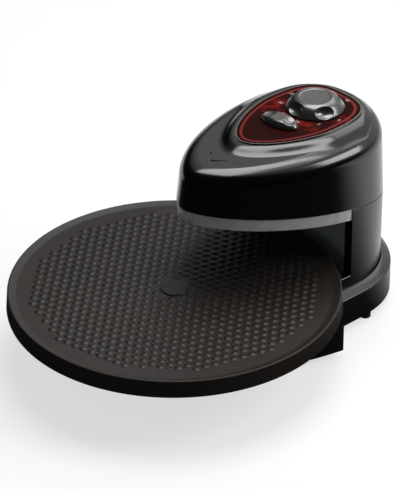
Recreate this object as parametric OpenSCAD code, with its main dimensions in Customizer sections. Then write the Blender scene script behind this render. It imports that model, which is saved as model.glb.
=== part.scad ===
// Rotating countertop pizza oven. Millimetres, +Z up, the table at z = 0,
// +Y from the pan towards the tower, and the part centred on its footprint.
// Places along Y below are counted from the pan's axis.

/* [Pan] */
// Radius of the pan over its top rim
pan_r = 170; // [160:1:176]
// Height of the pan's top rim over the table
pan_rim_z = 77.5; // [76:0.5:84]
// Depth of the pan's turned-down side
pan_side_h = 18; // [14:0.5:18]
// How far the side flares out at its foot
pan_flare = 1.2; // [0.2:0.1:2]
// Gap between the pan and the concave wall behind it
pan_space = 15.9; // [13:0.1:19]
// Width of the flat band round the rim
pan_band_w = 6.5; // [5:0.5:9]
// Depth of the floor below the rim
pan_floor_drop = 2.5; // [1.5:0.5:4]
// Thickness of the pan's sheet
pan_t = 1.5; // [1:0.1:2]
// Radius of the round hub cap at the pan's middle
hub_r = 14.5; // [14:0.5:20]
// How far the hub cap stands over the floor
hub_rise = 1.5; // [1:0.1:3]

/* [Feet and plinth] */
// Height of the rubber feet
foot_h = 7.5; // [6:0.5:9]
// Radius of a rubber foot
foot_r = 6; // [4.5:0.5:7]
// Half width of the plinth
plinth_half_w = 94.3; // [90:0.1:98]
// How far the plinth stands out behind the tower
plinth_step = 9; // [5:0.5:14]
// Height of the plinth's wall up to its rounded shoulder
plinth_wall_h = 33; // [28:0.5:34]
// Rise of the shoulder from that wall to the tower's foot
shoulder_rise = 4; // [2:0.5:5]
// Thickness of the moulded walls
wall = 2.5; // [2:0.1:3]

/* [Lower heater housing] */
// Half width that the housing's teardrop would reach at its widest
heater_half_w = 133.3; // [128:0.1:138]
// How far behind the mouth that widest place would be
heater_wide_back = 30; // [22:1:38]
// How far the housing's nose reaches in front of the pan's axis
heater_nose = 48; // [44:1:60]
// How far ahead of the mouth the housing ends against the plinth
heater_end_ahead = 50; // [44:1:56]
// Gap between the housing's top and the pan's side
pan_gap = 8; // [5:0.5:10]
// Depth of the lower reflector's tray
tray_depth = 13; // [12:0.5:14]

/* [Tower and head] */
// Half width of the tower at its foot
tower_half_w = 83; // [80:0.1:86]
// Depth of the tower behind the mouth
tower_depth = 97; // [93:1:104]
// Height of the mouth's sill over the tower's foot
sill_h = 12.5; // [9:0.5:13]
// Width of the flange that frames the mouth
mouth_frame_w = 8; // [5:0.5:10]
// Draft of the head from its lower edge to its deck
draft = 3; // [1:0.1:5]
// Where the head's nose lies behind the pan's axis
head_nose = 12; // [4:1:20]
// How far behind the mouth the head is widest
head_wide_back = 2; // [1:0.5:5]
// Height of the head's lower edge at the widest place
seam_z = 136.5; // [132:0.5:140]
// Angle by which that edge rises towards the nose
seam_tilt = 9.4; // [7:0.1:11]
// Height of the head's flat deck
deck_z = 206.5; // [203:0.5:212]
// Radius of the rounded edge of the deck
deck_round = 18; // [14:0.5:20]
// Height of the raised control platform over the deck
platform_rise = 6; // [4:0.5:8]

/* [Upper heater] */
// Height of the steel band below the head's edge
band_h = 13; // [12:0.5:16]
// How far the band stands back from the head's side
band_inset = 1; // [0.5:0.1:1.2]
// Thickness of the steel sheet
sheet = 1; // [0.8:0.1:1.2]
// Radius of the tubular heating elements
element_r = 3.2; // [2.8:0.1:3.5]
// Clear space between an element and its reflector
element_gap = 2; // [1.5:0.5:2.5]
// Height of the heat shield over the upper reflector
shield_h = 14; // [10:1:18]

/* [Controls] */
// Distance from the mouth back to the timer
timer_back = 24; // [21:0.5:27]
// Distance between the timer and the heat selector
knob_pitch = 50; // [47:0.5:53]
// Radius of the timer knob at its foot
timer_knob_r = 31; // [28:0.5:32]
// Height of the timer knob
timer_knob_h = 12; // [11:0.5:15]
// Half length of the oval selector knob
selector_knob_r = 22.5; // [20:0.5:23]
// Half width of the oval selector knob
selector_knob_w = 12; // [12:0.5:14]
// Height of the selector knob
selector_knob_h = 7.5; // [7:0.5:10]
// Number of finger scallops round the timer knob
timer_scallops = 5; // [3:1:6]
// Radius of the control shafts
shaft_r = 3; // [2.5:0.1:3.5]
// Radius of the timer's case
timer_case_r = 28; // [24:0.5:30]
// Depth of the timer's case
timer_case_h = 22; // [18:1:26]
// Side of the selector switch's square case
switch_w = 26; // [22:1:30]

/* [Drive] */
// Radius of the turntable spindle
spindle_r = 4; // [3.5:0.1:4.5]
// Radius of the drive motor's can
motor_r = 25; // [22:0.5:27]
// Height of the drive motor's can
motor_h = 15; // [13:0.5:16]
// Radius of the motor's own shaft bore
motor_bore_r = 3; // [2:0.1:3.4]

/* [Clearances] */
// Radial clearance of a shaft in its bore
run_gap = 0.05; // [0.02:0.01:0.09]
// Gap between a moving piece and the piece it turns over
turn_gap = 0.4; // [0.3:0.1:0.8]
// Play of the pan's socket on the spindle's head
socket_gap = 0.3; // [0.2:0.1:0.5]

/* [Hidden] */

fn_round = 96;
fn_small = 32;
side_steps = 22;
round_steps = 5;
eps = 0.01;
big = 700;

plastic = "#141416";
steel = "#b9bbbd";
dark_steel = "#55585c";
coating = "#322f2c";
rubber = "#1b1b1b";
knob_grey = "#8a8d90";
ceramic = "#e6e2d6";

// Heights from the table up
cover_t = 2;
cover_z = foot_h + cover_t;
plinth_edge_z = foot_h + plinth_wall_h;
tower_z = plinth_edge_z + shoulder_rise;
sill_z = tower_z + sill_h;
pan_side_z = pan_rim_z - pan_side_h;
pan_floor_z = pan_rim_z - pan_floor_drop;
heater_top_z = pan_side_z - pan_gap;
tray_z = heater_top_z - sheet - tray_depth;
element_z = tray_z + sheet + element_gap + element_r;
platform_z = deck_z + platform_rise;
ceiling_z = platform_z - wall;
plate_t = 0.8;
plate_z = platform_z + plate_t;
chassis_top_z = seam_z + 5;

// Places along Y, from the pan's axis back
pan_foot_r = pan_r + pan_flare;
chamber_r = pan_foot_r + pan_space;
mouth_y = sqrt(pow(chamber_r, 2) - pow(tower_half_w - wall - mouth_frame_w, 2)) - wall;
head_wide_y = mouth_y + head_wide_back;
tower_rear = mouth_y + tower_depth;
plinth_rear = tower_rear + plinth_step;
heater_wide_y = mouth_y + heater_wide_back;
heater_end_y = mouth_y - heater_end_ahead;
timer_y = mouth_y + timer_back;
selector_y = timer_y - knob_pitch;

// The part's footprint is centred on the frame's origin
cord_flange_t = 2.5;
pan_y = (pan_foot_r - plinth_rear - cord_flange_t) / 2;
module from_pan(z = 0) translate([0, pan_y, z]) children();

// ------------------------------------------------------------ outlines

// A quarter of a superellipse: its half width at a share u of its length
function flank(u, power) = pow(max(0, 1 - pow(u, power[0])), 1 / power[1]);

// Closed teardrop outline, symmetric about Y, from nose to rear and widest at
// wide. Front and back each have the two powers of their curve.
function teardrop(half_w, nose, wide, rear, front, back) =
    let (ahead = [for (i = [0 : side_steps]) pow(cos(90 * i / side_steps), 2 / front[0])],
        behind = [for (i = [1 : side_steps]) pow(sin(90 * i / side_steps), 2 / back[0])],
        right = concat(
            [for (u = ahead) [half_w * flank(u, front), wide - (wide - nose) * u]],
            [for (u = behind) [half_w * flank(u, back), wide + (rear - wide) * u]]))
    concat(right, [for (i = [len(right) - 2 : -1 : 1]) [-right[i][0], right[i][1]]]);

head_front = [1.87, 1.6];
head_back = [2.4, 1.6];
plinth_front = [6, 6];
plinth_back = [2.6, 1.6];
heater_power = [1.9, 1.9];
plate_front = [1.5, 1.75];
plate_back = [3.2, 3];

function head_outline(inset = 0) = teardrop(tower_half_w - inset, head_nose + inset,
    head_wide_y, tower_rear - inset, head_front, head_back);
function heater_outline(inset = 0) = teardrop(heater_half_w - inset, inset - heater_nose,
    heater_wide_y, heater_wide_y + heater_nose, heater_power, heater_power);

// The plinth's outline, drawn in by a share of the way to the tower's foot
function plinth_outline(inset = 0, share = 0) = teardrop(
    plinth_half_w + share * (tower_half_w - plinth_half_w) - inset, 0, mouth_y,
    plinth_rear + share * (tower_rear - plinth_rear) - inset, plinth_front, plinth_back);

// Half width of the lower housing at a place along Y ahead of its widest
function heater_x(y) = heater_half_w
    * flank((heater_wide_y - y) / (heater_wide_y + heater_nose), heater_power);

// The control plate, nose to rear, and how much it may grow
plate_ahead = 53.5;
plate_behind = 42;
plate_wide_ahead = 23.5;
plate_nose = selector_y - plate_ahead;
plate_wide_y = timer_y - plate_wide_ahead;
plate_rear = timer_y + plate_behind;
plate_half_w = 46.5;
function plate_outline(grow = 0) = teardrop(plate_half_w + grow, plate_nose - grow,
    plate_wide_y, plate_rear + grow, plate_front, plate_back);

// ------------------------------------------------------------ solids

// Height of the head's lower edge at a place along Y
function seam_at(y) = seam_z + (head_wide_y - y) * tan(seam_tilt);

// An outline lifted to a level, or to a drop below the tilted seam
function level(pts, z) = [for (p = pts) [p[0], p[1], z]];
function on_seam(pts, drop = 0) = [for (p = pts) [p[0], p[1], seam_at(p[1]) - drop]];

// Closed solid through a stack of rings that have equal numbers of points
module skin(rings) {
    n = len(rings[0]);
    top = (len(rings) - 1) * n;
    polyhedron(
        points = [for (r = rings, p = r) p],
        faces = concat(
            [[for (i = [0 : n - 1]) i]],
            [for (k = [0 : len(rings) - 2], i = [0 : n - 1])
                let (j = (i + 1) % n, a = k * n) [a + j, a + i, a + n + i, a + n + j]],
            [[for (i = [n - 1 : -1 : 0]) top + i]]),
        convexity = 6);
}

// Straight prism of an outline between two levels
module prism(pts, z0, z1) translate([0, 0, z0]) linear_extrude(z1 - z0) polygon(pts);

// Half spaces ahead of and behind a place along Y
module ahead_of(y) translate([-big / 2, y - big, -big / 4]) cube(big);
module behind(y) translate([-big / 2, y, -big / 4]) cube(big);

// The frame of the tilted seam, and all that lies above the seam less a drop
module at_seam(drop = 0) translate([0, head_wide_y, seam_z - drop]) rotate([-seam_tilt, 0, 0])
    children();
module above_seam(drop = 0) at_seam(drop) translate([-big / 2, -big / 2, 0]) cube(big);

// Pan-head screw with a cross slot, its seat at z = 0 and its shank upwards
module screw(head_r, head_h, shank_r, shank_l) {
    translate([0, 0, -head_h]) difference() {
        cylinder(r = head_r, h = head_h, $fn = fn_small);
        for (a = [0, 90]) rotate(a) translate([-head_r * 0.6, -0.4, -eps])
            cube([head_r * 1.2, 0.8, head_h / 2]);
    }
    cylinder(r = shank_r, h = shank_l, $fn = fn_small);
}

// ------------------------------------------------------------ head

screw_r = 1.5;
boss_r = 4.5;
screw_clear = 0.3;
shaft_hole_r = shaft_r + 3;
head_boss_x = [44, 30];
head_boss_back = [24, 40];
head_boss = [for (i = [0, 1], s = [-1, 1])
    [s * head_boss_x[i], chamber_r + sheet + head_boss_back[i]]];
platform_margin = 4;

// Rings of the head from its tilted edge over the rounded shoulder to the deck
function head_rings(inset, top, drop) = let (r = deck_round - inset / 2) concat(
    [on_seam(head_outline(inset), drop)],
    [for (i = [0 : round_steps]) let (a = 90 * i / round_steps)
        level(head_outline(inset + draft + r * (1 - cos(a))), top - r * (1 - sin(a)))]);

module head_shell() color(plastic) from_pan() difference() {
    union() {
        difference() {
            union() {
                skin(head_rings(0, deck_z, 0));
                platform();
            }
            skin(head_rings(wall, deck_z - wall, wall));
            prism(plate_outline(platform_margin - wall), deck_z - 2 * wall, ceiling_z);
        }
        for (p = head_boss) translate([p[0], p[1], chassis_top_z])
            cylinder(r = boss_r, h = deck_z - wall / 2 - chassis_top_z, $fn = fn_small);
    }
    for (y = [timer_y, selector_y]) translate([0, y, ceiling_z - 1])
        cylinder(r = shaft_hole_r, h = wall + 2, $fn = fn_small);
    for (p = head_boss) translate([p[0], p[1], chassis_top_z - eps])
        cylinder(r = screw_r, h = head_screw_l, $fn = fn_small);
    chevron();
}

// Raised teardrop that carries the control plate
platform_edge = 2;
module platform() skin([
    level(plate_outline(platform_margin + platform_edge), deck_z - wall / 2),
    level(plate_outline(platform_margin + platform_edge * 0.8), platform_z - platform_edge),
    level(plate_outline(platform_margin + platform_edge * 0.4), platform_z - platform_edge * 0.3),
    level(plate_outline(platform_margin), platform_z)]);

// Shallow open chevron pressed into the deck near the nose
chevron_back = 36;
chevron_y = head_nose + chevron_back;
chevron_arm = 17;
chevron_w = 1.6;
chevron_depth = 0.8;
chevron_angle = 43;
module chevron() translate([0, chevron_y, deck_z - chevron_depth]) for (s = [-1, 1])
    rotate(s * chevron_angle) translate([-chevron_w / 2, 0, 0]) cube([chevron_w, chevron_arm, 2]);

// ------------------------------------------------------------ tower and plinth

cord_bore_r = 4.5;
cord_bush_r = cord_bore_r + 3;
cord_bush_in = wall + 3.2;
cord_z = foot_h + plinth_wall_h / 2;

// Half width of the tower's inner face where the mouth ends
mouth_x = (tower_half_w - wall)
    * flank((head_wide_y - mouth_y) / (head_wide_y - head_nose - wall), head_front);

module tower_shell() color(plastic) from_pan() {
    difference() {
        skin([level(head_outline(), tower_z), on_seam(head_outline())]);
        skin([level(head_outline(wall), tower_z - 1), on_seam(head_outline(wall), -wall)]);
        ahead_of(mouth_y);
    }
    difference() {
        prism(head_outline(), tower_z, sill_z);
        prism(head_outline(wall), tower_z - 1, sill_z + 1);
        behind(mouth_y + eps);
        ahead_of(heater_end_y);
    }
    difference() {
        for (s = [0, 1]) mirror([s, 0, 0])
            translate([mouth_x - mouth_frame_w, mouth_y, heater_top_z])
                cube([mouth_frame_w + wall / 2, wall, seam_z]);
        above_seam(sheet);
    }
}

shoulder_bands = 3;
module plinth() color(plastic) from_pan() {
    difference() {
        skin(plinth_rings(0));
        skin(plinth_rings(wall));
        prism(head_outline(wall), tower_z - 2 * wall, tower_z + 1);
        ahead_of(heater_end_y);
        cord_place() cylinder(r = cord_bush_r, h = 6 * wall, center = true, $fn = fn_round);
    }
    bosses(plinth_bosses, boss_h);
}

// Rings of the plinth: a straight wall, then a rounded shoulder up to the tower's foot
function plinth_rings(inset) = concat(
    [level(plinth_outline(inset), inset > 0 ? foot_h - 1 : foot_h)],
    [for (i = [0 : shoulder_bands]) let (a = 90 * i / shoulder_bands)
        level(plinth_outline(inset, 1 - cos(a)), plinth_edge_z - inset + shoulder_rise * sin(a))]);

module cord_place() translate([0, plinth_rear, cord_z]) rotate([-90, 0, 0]) children();

module cord_bushing() color(rubber) from_pan() cord_place() difference() {
    flange_r = cord_bush_r + 2;
    union() {
        translate([0, 0, -cord_bush_in]) cylinder(r = cord_bush_r, h = cord_bush_in, $fn = fn_round);
        cylinder(r = flange_r, h = cord_flange_t, $fn = fn_round);
        translate([0, 0, -cord_bush_in]) cylinder(r = flange_r, h = 2, $fn = fn_round);
    }
    cylinder(r = cord_bore_r, h = big, center = true, $fn = fn_round);
}

// ------------------------------------------------------------ base

// Places of the bosses that take the cover's screws, each grown from a wall
function plinth_y(x) = mouth_y + (plinth_rear - mouth_y)
    * pow(1 - pow(x / plinth_half_w, plinth_back[1]), 1 / plinth_back[0]);
boss_sunk = 1;
boss_in = wall + boss_r - boss_sunk;
heater_boss_y = heater_end_y / 2;
plinth_boss_ahead = 20;
plinth_boss_y = mouth_y - plinth_boss_ahead;
rear_boss_x = 45;
heater_bosses = [[0, -heater_nose + boss_in], [-heater_x(heater_boss_y) + boss_in, heater_boss_y],
    [heater_x(heater_boss_y) - boss_in, heater_boss_y]];
plinth_bosses = [for (s = [-1, 1]) each [[s * (plinth_half_w - boss_in), plinth_boss_y],
    [s * rear_boss_x, plinth_y(rear_boss_x) - boss_in - boss_sunk]]];
chassis_foot_x = 34;
chassis_foot_back = 26;
chassis_feet = [for (s = [-1, 1]) [s * chassis_foot_x, chamber_r + sheet + chassis_foot_back]];
cover_screw_l = 12;
head_screw_l = 12;

module bosses(places, h) for (p = places) translate([p[0], p[1], cover_z]) difference() {
    cylinder(r = boss_r, h = h, $fn = fn_small);
    translate([0, 0, -1]) cylinder(r = screw_r, h = cover_screw_l - cover_t + 1, $fn = fn_small);
}

boss_h = 20;
wire_gate_w = 140;
module heater_housing() color(plastic) from_pan() {
    difference() {
        prism(heater_outline(), foot_h, heater_top_z);
        prism(heater_outline(wall), foot_h - 1, heater_top_z + 1);
        behind(heater_end_y);
    }
    difference() {
        prism(heater_outline(wall / 2), cover_z, heater_top_z - sheet);
        ahead_of(heater_end_y - wall);
        behind(heater_end_y);
        translate([-wire_gate_w / 2, 0, cover_z - 1])
            cube([wire_gate_w, 2 * heater_end_y, tray_z - cover_z]);
    }
    bosses(heater_bosses, boss_h);
}

nose_foot_in = 16;
side_foot_in = 21;
side_foot_ahead = 28;
rear_foot_in = 8;
rear_foot_back = 20;
side_foot_y = heater_end_y - side_foot_ahead;
feet = concat([[0, nose_foot_in - heater_nose]], [for (s = [-1, 1]) each [
    [s * (heater_x(side_foot_y) - side_foot_in), side_foot_y],
    [s * (plinth_half_w - rear_foot_in), mouth_y + rear_foot_back]]]);
foot_stem_r = 2.5;
foot_barb_r = 3.5;
module rubber_feet() color(rubber) from_pan() for (p = feet) translate([p[0], p[1], 0]) {
    cylinder(r1 = foot_r - 0.5, r2 = foot_r, h = 0.5, $fn = fn_small);
    translate([0, 0, 0.5]) cylinder(r = foot_r, h = foot_h - 0.5, $fn = fn_small);
    cylinder(r = foot_stem_r, h = cover_z + 0.5, $fn = fn_small);
    translate([0, 0, cover_z]) cylinder(r = foot_barb_r, h = 2, $fn = fn_small);
}

vents = 3;
vent_pitch = 9;
vent_w = 3;
vent_l = 40;
vent_y = motor_r + 20;
module bottom_cover() color(dark_steel) from_pan() difference() {
    union() {
        difference() {
            prism(heater_outline(wall), foot_h, cover_z);
            behind(heater_end_y);
        }
        difference() {
            prism(plinth_outline(wall), foot_h, cover_z);
            ahead_of(heater_end_y);
        }
    }
    translate([0, 0, foot_h - 1]) {
        for (p = feet) translate([p[0], p[1], 0]) cylinder(r = foot_stem_r, h = 5, $fn = fn_small);
        for (p = concat(heater_bosses, plinth_bosses, chassis_feet)) translate([p[0], p[1], 0])
            cylinder(r = screw_r + screw_clear, h = 5, $fn = fn_small);
        for (p = motor_ears) translate([p[0], p[1], 0]) cylinder(r = screw_r, h = 5, $fn = fn_small);
        for (i = [-vents : vents]) translate([i * vent_pitch - vent_w / 2, vent_y, 0])
            cube([vent_w, vent_l, 5]);
    }
}

module cover_screws() color(steel) from_pan()
    for (p = concat(heater_bosses, plinth_bosses, chassis_feet)) translate([p[0], p[1], foot_h])
        screw(3, 1.8, screw_r, cover_screw_l - 1);

// ------------------------------------------------------------ lower heater

// The concave steel wall behind the pan is struck round the pan's axis
chamber_fn = 4 * fn_round;

tray_rim = 9;
tray_end_y = heater_end_y - tray_rim - sheet;
loop_end_ahead = 12;
loop_end_y = tray_end_y - loop_end_ahead;
loop_half_w = 62;
loop_nose_r = 20;
loop_nose_y = -8;
tail_gap = 0.6;

module tray_space(inset, z) difference() {
    prism(heater_outline(wall + tray_rim + inset), z, heater_top_z + 1);
    behind(tray_end_y - inset);
}

module lower_reflector() color(steel) from_pan() difference() {
    union() {
        difference() {
            prism(heater_outline(wall), heater_top_z - sheet, heater_top_z);
            behind(heater_end_y);
        }
        difference() {
            prism(head_outline(wall), heater_top_z - sheet, heater_top_z);
            ahead_of(heater_end_y);
            difference() {
                cube(2 * big, center = true);
                cylinder(r = chamber_r + sheet, h = big, $fn = chamber_fn);
            }
        }
        intersection() {
            tray_space(-sheet, tray_z);
            cylinder(r = big, h = heater_top_z);
        }
    }
    tray_space(0, tray_z + sheet);
    translate([0, 0, tray_z - 1]) cylinder(r = bush_r, h = 5, $fn = fn_round);
    for (s = [-1, 1]) translate([s * loop_half_w, loop_end_y, tray_z - 1])
        cylinder(r = element_r + tail_gap, h = 5, $fn = fn_small);
}

module chamber_wall() color(steel) from_pan() difference() {
    intersection() {
        translate([0, 0, heater_top_z]) cylinder(r = chamber_r + sheet, h = seam_z, $fn = chamber_fn);
        prism(head_outline(wall), 0, big);
    }
    cylinder(r = chamber_r, h = big, $fn = chamber_fn);
    ahead_of(mouth_y + wall);
    above_seam(sheet);
}

// How far each leg of a heating loop leans out, and where it leaves the nose
function lean(nose_r, nose_y, half_w, end_y) = let (run = end_y - nose_y)
    asin((half_w * run - nose_r * sqrt(half_w * half_w + run * run - nose_r * nose_r))
        / (half_w * half_w + run * run));
function leg_start(nose_r, nose_y, a) = [nose_r * cos(a), nose_y - nose_r * sin(a), 0];

// Centre line of a loop: a tail, a leg, the round nose, and the mirrored leg and tail
bend_r = element_gap + element_r + sheet;
function unit(v) = v / norm(v);
function tail_bend(foot, along, up) = [for (i = [0 : 4]) let (s = 90 * i / 4)
    foot + bend_r * (along * (1 - cos(s)) + up * (1 - sin(s)))];
function loop_path(nose_r, nose_y, half_w, end_y, tail) =
    let (a = lean(nose_r, nose_y, half_w, end_y),
        foot = [half_w, end_y, 0],
        along = unit(leg_start(nose_r, nose_y, a) - foot),
        half = concat([foot + [0, 0, tail]],
            tail_bend(foot, along, [0, 0, sign(tail)]),
            [for (i = [0 : 7]) let (s = -a - i * (90 - a) / 8)
                [nose_r * cos(s), nose_y + nose_r * sin(s), 0]]))
    concat(half, [[0, nose_y - nose_r, 0]],
        [for (i = [len(half) - 1 : -1 : 0]) [-half[i][0], half[i][1], half[i][2]]]);

// Round tube along a path: a ring at each point, square to the path, its seam kept untwisted
tube_sides = 12;
function tangent(path, i) = unit(path[min(i + 1, len(path) - 1)] - path[max(i - 1, 0)]);
function square_to(n, t) = unit(n - (n * t) * t);
function seams(path, n, i = 0) = i == len(path) ? []
    : let (m = square_to(n, tangent(path, i))) concat([m], seams(path, m, i + 1));
module tube(path, r) {
    side = seams(path, [0, 1, 0]);
    skin([for (i = [0 : len(path) - 1]) let (t = tangent(path, i), n = side[i], b = cross(t, n))
        [for (k = [0 : tube_sides - 1]) let (s = 360 * k / tube_sides)
            path[i] + r * (n * cos(s) + b * sin(s))]]);
}

// Bracket that holds a leg of a loop off its reflector
clip_gap = 0.2;
clip_w = 2;
clip_t = 4;
module clip() difference() {
    translate([-element_r - clip_w, -clip_t / 2, -element_r - element_gap])
        cube([2 * (element_r + clip_w), clip_t, 2 * element_r + element_gap + clip_w / 2]);
    rotate([90, 0, 0])
        cylinder(r = element_r + clip_gap, h = 3 * clip_t, center = true, $fn = fn_small);
}
module clips(nose_r, nose_y, half_w, end_y) {
    a = lean(nose_r, nose_y, half_w, end_y);
    mid = (leg_start(nose_r, nose_y, a) + [half_w, end_y, 0]) / 2;
    for (s = [-1, 1]) translate([s * mid[0], mid[1], 0]) rotate(-s * a) clip();
}

lower_tail = cover_z + 6 - element_z;
module lower_element() color(dark_steel) from_pan(element_z)
    tube(loop_path(loop_nose_r, loop_nose_y, loop_half_w, loop_end_y, lower_tail), element_r);
module lower_element_clips() color(steel) from_pan(element_z)
    clips(loop_nose_r, loop_nose_y, loop_half_w, loop_end_y);

// ------------------------------------------------------------ upper heater

module heat_band() color(steel) from_pan() difference() {
    skin([on_seam(head_outline(band_inset), band_h), on_seam(head_outline(band_inset))]);
    skin([on_seam(head_outline(band_inset + sheet), band_h + 1),
        on_seam(head_outline(band_inset + sheet), -1)]);
    behind(mouth_y);
}

// The upper loop lies in the seam's tilted frame, so its places are taken along the slope
function slope_y(y) = (y - head_wide_y) / cos(seam_tilt);
upper_nose_r = 16;
upper_nose_back = 48;
upper_nose_y = slope_y(head_nose + upper_nose_back);
upper_half_w = 54;
upper_end_ahead = 22;
upper_end_y = slope_y(mouth_y - upper_end_ahead);
upper_drop = sheet + element_gap + element_r;
upper_tail = shield_h + 8;
module upper_tail_holes() at_seam() for (s = [-1, 1])
    translate([s * upper_half_w, upper_end_y, -5])
        cylinder(r = element_r + tail_gap, h = shield_h + 10, $fn = fn_small);

module upper_reflector() color(steel) from_pan() difference() {
    union() {
        difference() {
            prism(head_outline(band_inset + sheet), tower_z, 2 * seam_z);
            behind(mouth_y);
        }
        intersection() {
            prism(head_outline(wall), tower_z, 2 * seam_z);
            cylinder(r = chamber_r + sheet, h = big, $fn = chamber_fn);
        }
    }
    above_seam();
    difference() {
        cube(3 * big, center = true);
        above_seam(sheet);
    }
    upper_tail_holes();
}

module upper_element() color(dark_steel) from_pan() at_seam() translate([0, 0, -upper_drop])
    tube(loop_path(upper_nose_r, upper_nose_y, upper_half_w, upper_end_y,
        upper_drop + upper_tail), element_r);
module upper_element_clips() color(steel) from_pan() at_seam() translate([0, 0, -upper_drop])
    mirror([0, 0, 1]) clips(upper_nose_r, upper_nose_y, upper_half_w, upper_end_y);

shield_leg_x = [24, 62];
shield_leg_y = [head_nose + 58, mouth_y - 40];
shield_legs = [for (i = [0, 1], s = [-1, 1]) [s * shield_leg_x[i], shield_leg_y[i]]];
shield_leg_r = 2.5;
module heat_shield() color(steel) from_pan() {
    difference() {
        prism(head_outline(wall + draft + 4), tower_z, 2 * seam_z);
        behind(mouth_y - 2);
        at_seam(-shield_h - sheet) translate([-big / 2, -big / 2, 0]) cube(big);
        difference() {
            cube(3 * big, center = true);
            above_seam(-shield_h);
        }
        upper_tail_holes();
    }
    at_seam() for (p = shield_legs) translate([p[0], slope_y(p[1]), 0])
        cylinder(r = shield_leg_r, h = shield_h * cos(seam_tilt) + sheet / 2, $fn = fn_small);
}

cutout_ahead = 62;
cutout_r = 8;
cutout_h = 6;
tab_h = 4;
module thermal_cutout() color(ceramic) from_pan() at_seam()
    translate([0, slope_y(mouth_y - cutout_ahead), 0]) {
        cylinder(r = cutout_r, h = cutout_h, $fn = fn_round);
        for (s = [-1, 1]) translate([s * cutout_r / 2 - 1, -3, cutout_h - 0.5])
            cube([2, 6, tab_h]);
    }

// ------------------------------------------------------------ chassis and drive

chassis_t = 1.2;
chassis_w = 104;
chassis_depth = 48;
chassis_y = chamber_r + sheet;
module chassis() color(steel) from_pan() difference() {
    translate([-chassis_w / 2, chassis_y, cover_z]) {
        cube([chassis_w, chassis_t, chassis_top_z - cover_z]);
        cube([chassis_w, chassis_depth, chassis_t]);
        translate([0, 0, chassis_top_z - cover_z - chassis_t])
            cube([chassis_w, chassis_depth, chassis_t]);
    }
    for (p = head_boss) translate([p[0], p[1], chassis_top_z - 3])
        cylinder(r = screw_r + screw_clear, h = 6, $fn = fn_small);
    for (p = chassis_feet) translate([p[0], p[1], cover_z - 1])
        cylinder(r = screw_r, h = 5, $fn = fn_small);
}

module head_screws() color(steel) from_pan() for (p = head_boss)
    translate([p[0], p[1], chassis_top_z - chassis_t]) screw(3, 1.8, screw_r, head_screw_l);

motor_nose_h = 3.5;
motor_top_z = cover_z + motor_h;
motor_floor_z = cover_z + 3;
ear_r = 4;
motor_ears = [[-motor_r - ear_r, 0], [motor_r + ear_r, 0]];
ear_t = 2;
module drive_motor() color("#9a9ca0") from_pan() difference() {
    union() {
        translate([0, 0, cover_z]) cylinder(r = motor_r, h = motor_h, $fn = fn_round);
        translate([0, 0, motor_top_z])
            cylinder(r = motor_bore_r + 4, h = motor_nose_h, $fn = fn_round);
        for (p = motor_ears) translate([p[0], p[1], cover_z]) {
            cylinder(r = ear_r, h = ear_t, $fn = fn_small);
            translate([p[0] > 0 ? -ear_r - 1 : 0, -ear_r, 0]) cube([ear_r + 1, 2 * ear_r, ear_t]);
        }
    }
    translate([0, 0, motor_floor_z])
        cylinder(r = motor_bore_r, h = motor_h + motor_nose_h, $fn = fn_round);
    for (p = motor_ears) translate([p[0], p[1], cover_z - 1])
        cylinder(r = screw_r, h = 5, $fn = fn_small);
}
module motor_screws() color(steel) from_pan() for (p = motor_ears)
    translate([p[0], p[1], cover_z + ear_t]) mirror([0, 0, 1]) screw(2.8, 1.6, screw_r, ear_t + cover_t);

bush_r = spindle_r + 2.5;
bush_flange_r = bush_r + 3;
bush_flange_h = 2;
bush_low = 5;
bush_top_z = tray_z + sheet + bush_flange_h;
module spindle_bush() color("#b08d4a") from_pan() difference() {
    union() {
        translate([0, 0, tray_z - bush_low])
            cylinder(r = bush_r, h = bush_low + sheet, $fn = fn_round);
        translate([0, 0, tray_z + sheet])
            cylinder(r = bush_flange_r, h = bush_flange_h, $fn = fn_round);
        translate([0, 0, tray_z - 1.5])
            cylinder(r = bush_flange_r, h = 1.5, $fn = fn_round);
    }
    cylinder(r = spindle_r + run_gap, h = big, $fn = fn_round);
}

// The spindle's flatted head, and the socket that drops over it
socket_h = 14;
socket_z = pan_floor_z - pan_t - socket_h;
key_r = spindle_r + 1;
key_h = 9;
shoulder_h = 2;
collar_w = 3;
collar_h = 2;
shoulder_z = socket_z - socket_gap - shoulder_h;
module key(gap, h) intersection() {
    cylinder(r = key_r + gap, h = h, $fn = fn_round);
    translate([-key_r * 0.75 - gap, -big / 2, 0]) cube([key_r * 1.5 + 2 * gap, big, h]);
}
module drive_spindle() color(steel) from_pan() {
    translate([0, 0, motor_floor_z + 1]) cylinder(r = motor_bore_r - run_gap,
        h = motor_top_z + motor_nose_h + turn_gap - motor_floor_z - 1, $fn = fn_round);
    translate([0, 0, motor_top_z + motor_nose_h + turn_gap]) cylinder(r = spindle_r,
        h = shoulder_z - motor_top_z - motor_nose_h - turn_gap, $fn = fn_round);
    translate([0, 0, bush_top_z + turn_gap])
        cylinder(r = spindle_r + collar_w, h = collar_h, $fn = fn_round);
    translate([0, 0, shoulder_z]) cylinder(r = key_r + collar_w, h = shoulder_h, $fn = fn_round);
    translate([0, 0, shoulder_z + shoulder_h]) key(0, key_h);
}

// ------------------------------------------------------------ pan

pan_slope_w = 3;
rim_round = 2.4;
rim_in_round = rim_round - pan_t;
rim_steps = 4;
rivet_r = 1;
rivet_ring_r = key_r + 6;
rivets = [for (a = [0, 120, 240]) rivet_ring_r * [cos(a), sin(a)]];

// Points of the rim's rounding, outwards (way = 1) or back inwards (way = -1)
function rim_arc(r, way) = [for (i = [0 : rim_steps])
    let (a = 45 + 45 * way * (1 - 2 * i / rim_steps))
    [pan_r - rim_round + r * cos(a), pan_rim_z - rim_round + r * sin(a)]];

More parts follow.
